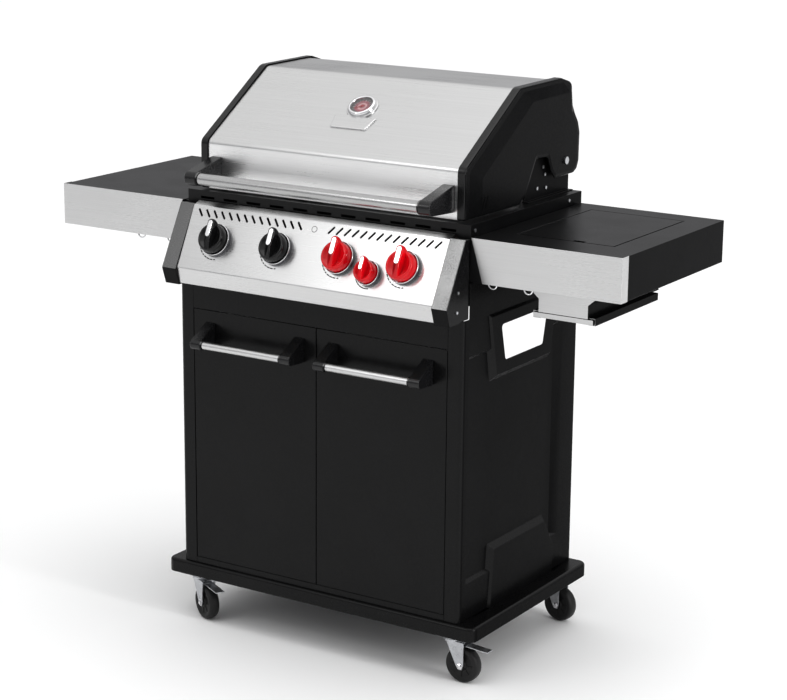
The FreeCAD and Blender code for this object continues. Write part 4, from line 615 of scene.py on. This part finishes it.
def add_capsule(bm, start, end, out, radius, depth, steps=8):
    """A round-ended bar that reaches depth above and below a face with the normal out."""
    along = (end - start).normalized()
    across = out.cross(along).normalized()
    loop = []
    for middle, turn in ((end, 0.0), (start, math.pi)):
        for step in range(steps + 1):
            angle = turn + math.pi * (step / steps) - math.pi / 2
            loop.append(middle + (along * math.cos(angle) + across * math.sin(angle)) * radius)
    skin(bm, [[point + out * height for point in loop] for height in (-depth, depth)])


def bar(name, node, finish="brushed_steel"):
    """A handle's steel bar with eased ends."""
    low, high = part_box(node)
    radius = (high.z - low.z) / 2
    place = Vector((low.x, (low.y + high.y) / 2, (low.z + high.z) / 2))
    length = high.x - low.x
    ease = 0.8 * MM
    profile = [(radius - ease, 0), (radius, ease), (radius, length - ease), (radius - ease, length)]
    bm = bmesh.new()
    turned(bm, profile, along_axis(place, (1, 0, 0)), 72)
    return flat_shaded(add_piece(name, bm, body_of_node[node], finish, [node]))


def tangent_wedge(foot_y, foot_top, foot_bottom, centre, radius, steps=14):
    """Side outline of a bracket: from its foot, tangent to a round nose."""
    middle = Vector(centre)
    ends = []
    for height, side in ((foot_bottom, 1), (foot_top, -1)):
        foot = Vector((foot_y, height))
        reach = foot - middle
        lean = math.acos(radius / reach.length)
        base = math.atan2(reach.y, reach.x)
        ends.append(base - side * lean)
    start, stop = ends
    if stop > start:
        stop -= 2 * math.pi
    outline = [Vector((foot_y, foot_top)), Vector((foot_y, foot_bottom))]
    for step in range(steps + 1):
        angle = start + (stop - start) * step / steps
        outline.append(middle + Vector((math.cos(angle), math.sin(angle))) * radius)
    return outline


def wedge_brackets(name, node, bar_node, ease):
    """The two moulded brackets of a handle, each with a collar round the bar's end."""
    low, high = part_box(node)
    bar_low, bar_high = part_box(bar_node)
    socket = 12 * MM
    centre = ((bar_low.y + bar_high.y) / 2, (bar_low.z + bar_high.z) / 2)
    nose = centre[0] - low.y
    outline = tangent_wedge(high.y, high.z, low.z, centre, nose)
    bm = bmesh.new()
    ends = ((low.x, bar_low.x + socket, 1), (bar_high.x - socket, high.x, -1))
    for start, stop, _ in ends:
        skin(bm, [[(x, p[0], p[1]) for p in outline] for x in (start, stop)])
    thing = add_piece(name, bm, body_of_node[node], "black_plastic", [node])
    eased(thing, ease, 3)
    bm = bmesh.new()
    radius = (bar_high.z - bar_low.z) / 2
    for start, stop, way in ends:
        mouth = stop if way > 0 else start
        place = Vector((mouth - way * 1 * MM, centre[0], centre[1]))
        collar = [
            (radius + 0.05 * MM, 0), (radius + 2.2 * MM, 0), (radius + 2.2 * MM, 3 * MM),
            (radius + 1.4 * MM, 4 * MM), (radius + 0.05 * MM, 4 * MM),
        ]
        turned(bm, collar, along_axis(place, (way, 0, 0)), 48)
    flat_shaded(add_piece(name + "_collars", bm, body_of_node[node], "matte_black_plastic"))


# ---------------------------------------------------------------- thermometer
BOSS_RADIUS = 34
# Right half of the plate under the boss, in mm from the dial's middle, and its rising edge.
PLATE_HALF = ((31, -30), (50, -29), (42, -66))
PLATE_EDGE = ((0.0, 0.0), (0.4, 2.6), (1.6, 3.4), (4.0, 3.6))
NEEDLE_REST = 120.0


def boss_and_plate(face):
    """Steel boss behind the dial, joined to the blank plate under it."""
    outline = []
    for step in range(25):
        angle = math.radians(-52 + 284 * step / 24)
        outline.append(Vector((BOSS_RADIUS * math.cos(angle), BOSS_RADIUS * math.sin(angle))) * MM)
    outline += [Vector((-x, y)) * MM for x, y in PLATE_HALF]
    outline += [Vector((x, y)) * MM for x, y in reversed(PLATE_HALF)]
    rings = []
    for inward, height in PLATE_EDGE:
        moved = inset(outline, [inward * MM] * len(outline))
        rings.append([(p[0], p[1], height * MM) for p in moved])
    bm = bmesh.new()
    skin(bm, rings, matrix=face)
    plate = add_piece("thermometer_boss_plate", bm, "lid", "brushed_steel", (), 30)
    eased(plate, 0.6 * MM)


def thermometer():
    """Boss with its plate, bezel, dial, marks, glass, probe and needle."""
    face = upright_frame(GAUGE_PLACE, GAUGE_OUT)
    boss_and_plate(face)
    bm = bmesh.new()
    rim = [
        (30, 3.4), (30.5, 5.0), (30, 8.0), (28.5, 10.2), (26.0, 11.0), (24.2, 10.6), (23.4, 9.0),
        (23.2, 4.4), (20, 4.2),
    ]
    lathe(bm, rim, face, 96)
    flat_shaded(
        add_piece("thermometer_bezel", bm, "lid", "chrome_trim", ["thermometer"], 50)
    )
    bm = bmesh.new()
    lathe(bm, [(23.3, 4.3), (23.3, 4.6)], face)
    add_piece("thermometer_dial", bm, "lid", "dial_print")
    bm = bmesh.new()
    for step in range(13):
        angle = math.radians(210 - 240 * step / 12)
        reach = Vector((math.cos(angle), math.sin(angle), 0))
        inner_end = 15.5 if step % 3 == 0 else 17.5
        start, end = reach * inner_end * MM, reach * 20.5 * MM
        start.z = end.z = 4.65 * MM
        add_capsule(bm, start, end, Vector((0, 0, 1)), 0.35 * MM, 0.06 * MM, 3)
    bmesh.ops.transform(bm, matrix=face, verts=bm.verts)
    add_piece("thermometer_marks", bm, "lid", "pointer_silver")
    bm = bmesh.new()
    lathe(bm, [(23.2, 8.3), (23.2, 8.9), (16, 9.3), (8, 9.55), (2, 9.6)], face)
    add_piece("thermometer_glass", bm, "lid", "clear_glass", (), 80)
    bm = bmesh.new()
    lathe(bm, [(3, 0), (3, 44), (2, 45)], face @ Matrix.Rotation(math.pi, 4, "X"), 24)
    add_piece("thermometer_probe", bm, "lid", "zinc_steel")
    turn = face @ Matrix.Rotation(math.radians(NEEDLE_REST), 4, "Z")
    bm = bmesh.new()
    outline = [(-0.7, -5), (0.7, -5), (0.9, 0), (0.25, 18.5), (-0.25, 18.5), (-0.9, 0)]
    skin(bm, [[(x * MM, y * MM, z * MM) for x, y in outline] for z in (5.0, 5.8)], matrix=turn)
    lathe(bm, [(2.6, 5.0), (2.6, 6.0), (2.0, 6.5)], face, 24)
    add_piece(
        "thermometer_pointer", bm, "thermometer_needle", "needle_red", ["thermometer_needle"]
    )


# ---------------------------------------------------------------- knob panel
KNOB_DROP = 69.7 * MM
FASCIA_UP = FASCIA_OUT.cross(Vector((1, 0, 0))).normalized()
left_knob = Vector(joints["valve_left_turn"]["pos_m"])
FASCIA_EDGE = Vector((0, left_knob.y, left_knob.z)) + FASCIA_UP * KNOB_DROP
FASCIA_FACE = upright_frame(FASCIA_EDGE, FASCIA_OUT)
FASCIA_LENGTH = 136.7 * MM
FASCIA_WALL = 1.2 * MM
FASCIA_RETURN = 17 * MM
FASCIA_RISE = 6 * MM
FASCIA_LIP_BACK = 9.1 * MM
STEM_HOLE = 6
SLOTS = 14
SLOT_START = 38.0
SLOT_PITCH = 19.05
SLOT_DROP = 15.4 * MM
SLOT_HALF = (5.0 * MM, 6.2 * MM)
KNOB_RADIUS = 30.5
SMALL_KNOB_RADIUS = 22.5
KNOB_HEIGHT = 38.0
GRIP_BASE = 16.0


def knob_place(name):
    """The point of the fascia's face where a knob's stem comes out."""
    return Vector(joints[f"valve_{name}_turn"]["pos_m"])


def fascia_panel():
    """Folded steel panel with rounded bends, two rows of slanted slots and holes for the stems."""
    low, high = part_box("fascia_panel")
    edge = (FASCIA_EDGE.y, FASCIA_EDGE.z)
    bend = FASCIA_FACE @ Vector((0, -FASCIA_LENGTH, 0))
    foot = (bend.y + FASCIA_LIP_BACK, low.z + FASCIA_WALL)
    line = [
        (edge[0] + FASCIA_RETURN, edge[1] + FASCIA_RISE), edge, (bend.y, bend.z), foot,
        (foot[0] + FASCIA_RETURN, foot[1]),
    ]
    inner = inset(line, [FASCIA_WALL] * (len(line) - 1), closed=False)
    radii = [0, 3 * MM, 7 * MM, 3 * MM, 0]
    bm = bmesh.new()
    outer_line = rounded_line(line, radii, 8)
    inner_line = rounded_line(inner, [max(radius - FASCIA_WALL, 0) for radius in radii], 8)
    sheet_band(bm, outer_line, inner_line, low.x, high.x)
    panel = add_piece(
        "fascia_panel_steel", bm, "cart", "fascia_steel", ["fascia_panel"], 50
    )
    cutter = bmesh.new()
    slant, rise = SLOT_HALF
    for way in (-1, 1):
        for step in range(SLOTS):
            x = way * (SLOT_START + SLOT_PITCH * step) * MM
            top = FASCIA_FACE @ Vector((x + way * slant, rise - SLOT_DROP, 0))
            bottom = FASCIA_FACE @ Vector((x - way * slant, -rise - SLOT_DROP, 0))
            add_capsule(cutter, bottom, top, FASCIA_OUT, 2.3 * MM, 3 * MM, 5)
    for name in KNOBS:
        matrix = along_axis(knob_place(name), FASCIA_OUT)
        lathe(cutter, [(STEM_HOLE, -4), (STEM_HOLE, 4)], matrix, 24)
    carved(panel, cutter)
    flat_shaded(panel)


def printed_marks():
    """Printed dashes round the lower left of every knob, and a plain ring between the slots."""
    bm = bmesh.new()
    count = 9
    for name in KNOBS:
        radius = (30 if name == "side_burner" else 40) * MM
        face = upright_frame(knob_place(name), FASCIA_OUT)
        for step in range(count):
            angle = math.radians(186 + 92 * step / (count - 1))
            wide = math.radians(3.6 if step % 4 else 1.8) * 40 * MM / radius
            start, end = [
                Vector((radius * math.cos(turn), radius * math.sin(turn), 0.1 * MM))
                for turn in (angle - wide, angle + wide)
            ]
            dash = bmesh.new()
            add_capsule(dash, start, end, Vector((0, 0, 1)), 1.1 * MM, 0.1 * MM, 3)
            bmesh.ops.transform(dash, matrix=face, verts=dash.verts)
            add_to(bm, dash)
    ring = bmesh.new()
    matrix = upright_frame(FASCIA_FACE @ Vector((-2 * MM, -18 * MM, 0)), FASCIA_OUT)
    lathe(ring, [(5.6, 0), (5.6, 0.2), (6.5, 0.2), (6.5, 0)], matrix, 32, False)
    add_to(bm, ring)
    add_piece("fascia_printed_marks", bm, "cart", "printed_black")


def add_to(bm, other):
    """Move everything in one bmesh into another."""
    mesh = bpy.data.meshes.new("part")
    other.to_mesh(mesh)
    other.free()
    bm.from_mesh(mesh)
    bpy.data.meshes.remove(mesh)


def knob(name):
    """Dished round knob with a tall boat-shaped grip and a silver bar let into the grip's face."""
    size = SMALL_KNOB_RADIUS / KNOB_RADIUS if name == "side_burner" else 1.0
    face = upright_frame(knob_place(name), FASCIA_OUT)
    colour = slot_of_node[f"knob_{name}"]
    body = body_of_node[f"knob_{name}"]
    finish = "gloss_black" if colour == "black_plastic" else colour
    profile = [
        (26.0, 6.0), (29.6, 6.2), (KNOB_RADIUS, 7.5), (30.4, 18.0), (29.9, 23.0), (28.8, 26.0),
        (27.4, 27.5), (25.6, 28.0), (24.0, 27.6), (21.5, 25.6), (17.0, 22.8), (11.0, 20.8), (8.2, 20.6),
        (7.6, 25.4), (0.5, 25.5),
    ]
    bm = bmesh.new()
    lathe(bm, [(radius * size, height) for radius, height in profile], face, 96)
    disc = add_piece(f"knob_{name}_disc", bm, body, finish, [f"knob_{name}"], 60)
    flat_shaded(disc)

    bm = bmesh.new()
    # Height, half width, and how far the tip is drawn in.
    levels = (
        (GRIP_BASE, 11.0, 0.0), (24.0, 10.0, 0.0), (29.0, 9.2, 0.2), (33.0, 8.5, 0.6), (35.8, 7.9, 1.1),
        (37.3, 7.2, 1.9), (KNOB_HEIGHT, 6.0, 3.2),
    )
    skin(bm, [grip_outline(*level, size) for level in levels], matrix=face)
    flat_shaded(add_piece(f"knob_{name}_grip", bm, body, finish, (), 75))

    bm = bmesh.new()
    rings = []
    for lift, half in ((-3.0, 5.3), (0.3, 5.3), (0.7, 4.8), (0.8, 4.0)):
        ring = []
        for start, way in ((27.5 * size, 0.0), (3.0 * size, math.pi)):
            for step in range(9):
                angle = way + math.pi * step / 8
                x = half * size * math.cos(angle)
                y = start + half * size * math.sin(angle)
                ring.append((x * MM, y * MM, (grip_top_height(y / size) + lift) * MM))
        rings.append(ring)
    skin(bm, rings, matrix=face)
    flat_shaded(add_piece(f"knob_{name}_pointer", bm, body, "pointer_silver", (), 60))


def grip_top_height(along):
    """Height of a grip's ridge at a place along it: level near the tip, then falling."""
    level_to = 4.0
    if along > level_to:
        return KNOB_HEIGHT
    return KNOB_HEIGHT - 0.010 * (level_to - along) ** 2


def grip_outline(height, half, pull, size, steps=12, side_steps=8):
    """One level of a knob's grip, sunk toward its foot so that the ridge falls away."""
    tip = 37.0 - pull - 0.45 * max(0.0, 30.0 - height)
    foot = -(29.0 - 0.5 * pull)
    top_round, foot_round = half * 0.92, half * 0.75
    top_centre, foot_centre = tip - top_round, foot + foot_round

    def side(share):
        """Half width and place along the grip at a share of the way from tip to foot."""
        return half + (foot_round - half) * share, top_centre + (foot_centre - top_centre) * share

    ring = []
    for step in range(steps + 1):
        angle = math.pi * step / steps
        ring.append((half * math.cos(angle), top_centre + top_round * math.sin(angle)))
    for step in range(1, side_steps):
        wide, y = side(step / side_steps)
        ring.append((-wide, y))
    for step in range(steps + 1):
        angle = math.pi + math.pi * step / steps
        ring.append((foot_round * math.cos(angle), foot_centre + foot_round * math.sin(angle)))
    for step in range(1, side_steps):
        ring.append(side(1 - step / side_steps))
    points = []
    for x, y in ring:
        share = (height - GRIP_BASE) / (KNOB_HEIGHT - GRIP_BASE)
        drop = (KNOB_HEIGHT - grip_top_height(y)) * share
        points.append((x * MM * size, y * MM * size, (height - drop) * MM))
    return points


def bezels():
    """Cups round the knobs: a polished body darkened as painted shade, with a bright rolled rim."""
    body, rim = bmesh.new(), bmesh.new()
    for name in KNOBS:
        radius = SMALL_KNOB_RADIUS if name == "side_burner" else KNOB_RADIUS
        face = upright_frame(knob_place(name), FASCIA_OUT)
        cup = [
            (5, 1.5), (radius + 1.3, 1.5), (radius + 1.3, 8.6), (radius + 2.7, 8.6),
            (radius + 2.7, 2.4), (radius + 3.3, 1.2), (radius + 3.3, 0.0), (5, 0.0),
        ]
        lathe(body, cup, face, 96, False)
        roll = [
            (radius + 1.3, 8.6), (radius + 1.4, 9.4), (radius + 1.9, 10.0), (radius + 2.6, 10.0),
            (radius + 3.1, 9.4), (radius + 3.3, 8.6), (radius + 3.0, 8.0), (radius + 2.7, 7.9),
        ]
        lathe(rim, roll, face, 96, False)
    # The cups take the darkened chrome, which is painted shade round the knobs.
    flat_shaded(
        add_piece("knob_bezels_cups", body, "cart", "smoked_chrome", ["knob_bezels"], 45)
    )
    flat_shaded(add_piece("knob_bezels_rims", rim, "cart", "chrome_trim", (), 60))


# ---------------------------------------------------------------- casters
def caster_wheel(name):
    """Hard rubber wheel: crowned tread, recessed sides, ribs and a hub."""
    joint = joints[f"caster_{name}_roll"]
    matrix = along_axis(Vector(joint["pos_m"]), joint["axis"])
    half = [
        (4.3, -12), (10, -12), (11, -11), (12, -9), (24, -9), (26, -10.6), (31.5, -12), (34.5, -11),
        (36.6, -8.2), (37.4, -4),
    ]
    profile = [*half, (37.5, 0), *[(radius, -height) for radius, height in reversed(half)]]
    bm = bmesh.new()
    lathe(bm, profile, matrix, 72)
    node = f"caster_wheel_{name}"
    flat_shaded(add_piece(node + "_tyre", bm, node, "tyre_black", [node], 40))
    bm = bmesh.new()
    for way in (-1, 1):
        for step in range(8):
            spoke = matrix @ Matrix.Rotation(math.pi * step / 4, 4, "Z")
            corners = [(9.5, -1.1), (25, -0.9), (25, 0.9), (9.5, 1.1)]
            rings = [[(x * MM, y * MM, way * z * MM) for x, y in corners] for z in (8.5, 10.4)]
            skin(bm, rings, matrix=spoke)
    eased(add_piece(node + "_ribs", bm, node, "tyre_black"), 0.4 * MM)


def caster_bolts(name):
    """Round heads and nuts at the ends of a caster's axle."""
    joint = joints[f"caster_{name}_roll"]
    matrix = along_axis(Vector(joint["pos_m"]), joint["axis"])
    cheek = 16.2
    profile = [
        (7.2, cheek), (7.2, cheek + 0.8), (5.4, cheek + 1.0), (5.2, cheek + 2.6), (3.6, cheek + 3.6),
        (0.4, cheek + 3.8),
    ]
    bm = bmesh.new()
    for way, sides in ((0.0, 32), (math.pi, 6)):
        lathe(bm, profile, matrix @ Matrix.Rotation(way, 4, "X"), sides)
    add_piece(f"caster_{name}_bolts", bm, f"caster_fork_{name}", "chrome_trim", (), 30)


# ---------------------------------------------------------------- hooks under the tables
def wire(bm, line, radius, segments=12):
    """A round wire along a smooth line of points."""
    aslant = Vector((0.31, 0.9, 0.17))
    rings = []
    for index, point in enumerate(line):
        before, after = line[max(index - 1, 0)], line[min(index + 1, len(line) - 1)]
        way = (after - before).normalized()
        side = way.cross(aslant).normalized()
        other = way.cross(side)
        ring = []
        for step in range(segments):
            angle = 2 * math.pi * step / segments
            ring.append(point + (side * math.cos(angle) + other * math.sin(angle)) * radius)
        rings.append(ring)
    skin(bm, rings)


def tool_hooks():
    """Wire hooks screwed up into the tables behind their front trims."""
    low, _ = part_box("side_table_right")
    trim_low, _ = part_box("table_front_trims")
    wire_radius, ring = 1.6 * MM, 9 * MM
    bm = bmesh.new()
    for x in (42 * MM, 120 * MM):
        for way in (-1, 1):
            place = Vector((way * (low.x + x), trim_low.y + 12 * MM, trim_low.z + 8 * MM))
            points = [place + Vector((0, 0, 8 * MM)), place]
            for step in range(19):
                angle = math.radians(90 - 290 * step / 18)
                points.append(
                    place + Vector((math.cos(angle) * ring, 0, math.sin(angle) * ring - ring))
                )
            wire(bm, points, wire_radius)
    add_piece("tool_hooks", bm, "cart", "chrome_trim", (), 60)


# ---------------------------------------------------------------- build
lid_shell()
lid_cap(1, "right")
lid_cap(-1, "left")
# The lid handle bar takes the darker steel copy, which is painted shade.
bar("lid_handle_bar_steel", "lid_handle_bar", "bar_steel")
wedge_brackets("lid_handle_brackets_moulded", "lid_handle_brackets", "lid_handle_bar", 2.2 * MM)
for side_name in ("left", "right"):
    bar(f"door_{side_name}_bar_steel", f"door_{side_name}_handle_bar")
    wedge_brackets(
        f"door_{side_name}_brackets_moulded", f"door_{side_name}_handle_brackets",
        f"door_{side_name}_handle_bar", 1.6 * MM,
    )
thermometer()
fascia_panel()
printed_marks()
for knob_name in KNOBS:
    knob(knob_name)
bezels()
for caster in CASTERS:
    caster_wheel(caster)
    caster_bolts(caster)
tool_hooks()

# Nodes shown as softened copies, with the width in mm that each sharp edge is rounded to.
SOFTENED = {
    "base_tray": 1.0, "side_panel_left": 0.8, "side_panel_right": 0.8, "rear_panel": 0.4,
    "cart_rails": 0.4, "door_left": 0.5, "door_right": 0.5, "fascia_end_caps": 1.2,
    "firebox": 0.5, "hinge_brackets": 0.5, "side_table_left": 0.6, "side_table_right": 0.6,
    "table_front_trims": 0.35, "table_brackets": 0.5, "side_burner_lid": 0.5, "side_burner_box": 0.4,
    "side_burner_tray": 0.4, "grease_tray": 0.4, "cooking_grates": 0.8, "side_burner": 1.5,
    "caster_plates": 0.6, "door_hardware": 0.3,
}
SOFTENED.update({f"caster_fork_{caster}": 0.6 for caster in CASTERS})
SOFTENED.update({f"caster_brake_{caster}": 0.6 for caster in CASTERS if "front" in caster})
STEEL_FRONTED = ("side_burner_box", "side_burner_tray")
for node, ease in SOFTENED.items():
    softened(node, ease * MM, "cart_black" if node in STEEL_FRONTED else None)
for node, thing in nodes.items():
    finish = FINISHES[slot_of_node[node]]
    if not thing.material_slots:
        thing.data.materials.append(finish)
    for holder in thing.material_slots:
        holder.material = finish


# ---------------------------------------------------------------- stage, light and camera
def floor():
    """Pale plain floor, far wider than the view."""
    bm = bmesh.new()
    half = 30.0
    corners = ((-half, -half), (half, -half), (half, half), (-half, half))
    bm.faces.new([bm.verts.new((x, y, 0)) for x, y in corners])
    mesh = bpy.data.meshes.new("floor")
    bm.to_mesh(mesh)
    bm.free()
    thing = bpy.data.objects.new("floor", mesh)
    scene.collection.objects.link(thing)
    pale = Finish("floor_pale")
    pale.drive("Base Color", pale.blend(pale.noise(0.6), grey(0.93), grey(0.96)))
    pale.set(Roughness=0.9, Specular_IOR_Level=0.1)
    mesh.materials.append(pale.material)


def softbox(name, azimuth, elevation, distance, width, height, power):
    """An area light that faces the object; azimuth 0 is in front of it and 90 to its right."""
    light = bpy.data.lights.new(name, "AREA")
    light.shape = "RECTANGLE"
    light.size = width
    light.size_y = height
    light.energy = power
    thing = bpy.data.objects.new(name, light)
    a, e = math.radians(azimuth), math.radians(elevation)
    way = Vector((math.sin(a) * math.cos(e), -math.cos(a) * math.cos(e), math.sin(e)))
    target = Vector((0, 0, 0.7))
    thing.location = target + way * distance
    thing.rotation_euler = way.to_track_quat("Z", "Y").to_euler()
    scene.collection.objects.link(thing)


def studio():
    """Soft sky that brightens upward, a large key light and two small accents."""
    world = bpy.data.worlds.new("studio")
    world.use_nodes = True
    tree = world.node_tree
    back = tree.nodes["Background"]
    place = tree.nodes.new("ShaderNodeTexCoord")
    split = tree.nodes.new("ShaderNodeSeparateXYZ")
    ramp = tree.nodes.new("ShaderNodeValToRGB")
    tree.links.new(place.outputs["Generated"], split.inputs["Vector"])
    tree.links.new(split.outputs["Z"], ramp.inputs["Fac"])
    tree.links.new(ramp.outputs["Color"], back.inputs["Color"])
    stops = ramp.color_ramp.elements
    stops[0].position = 0.0
    stops[0].color = (0.36, 0.36, 0.37, 1)
    stops[1].position = 0.96
    stops[1].color = (1.9, 1.9, 1.9, 1)
    stops.new(0.30).color = (0.42, 0.42, 0.43, 1)
    stops.new(0.50).color = (0.80, 0.80, 0.80, 1)
    stops.new(0.86).color = (0.97, 0.97, 0.97, 1)
    back.inputs["Strength"].default_value = 1.12
    scene.world = world
    softbox("key", -22, 34, 4.2, 2.4, 2.2, 11)
    softbox("glint", -31, 36, 4.1, 0.4, 0.5, 4)
    softbox("strip", 84, 14, 3.4, 0.35, 2.2, 34)


def camera():
    """The camera looks down and to the left from the front right."""
    data = bpy.data.cameras.new("camera")
    data.sensor_width = 36.0
    data.lens = 100.96
    thing = bpy.data.objects.new("camera", data)
    yaw, pitch, roll = math.radians(32.555), math.radians(14.488), math.radians(0.52)
    right = Vector((math.cos(yaw), math.sin(yaw), 0))
    ahead = Vector((-math.sin(yaw) * math.cos(pitch), math.cos(yaw) * math.cos(pitch), -math.sin(pitch)))
    up = right.cross(ahead)
    rolled_right = right * math.cos(roll) + up * math.sin(roll)
    rolled_up = up * math.cos(roll) - right * math.sin(roll)
    turn = Matrix((rolled_right, rolled_up, -ahead)).transposed().to_4x4()
    thing.matrix_world = Matrix.Translation((2.4425, -3.7458, 1.7551)) @ turn
    scene.collection.objects.link(thing)
    scene.camera = thing


floor()
studio()
camera()
scene.view_settings.view_transform = "Standard"
scene.view_settings.gamma = 0.86
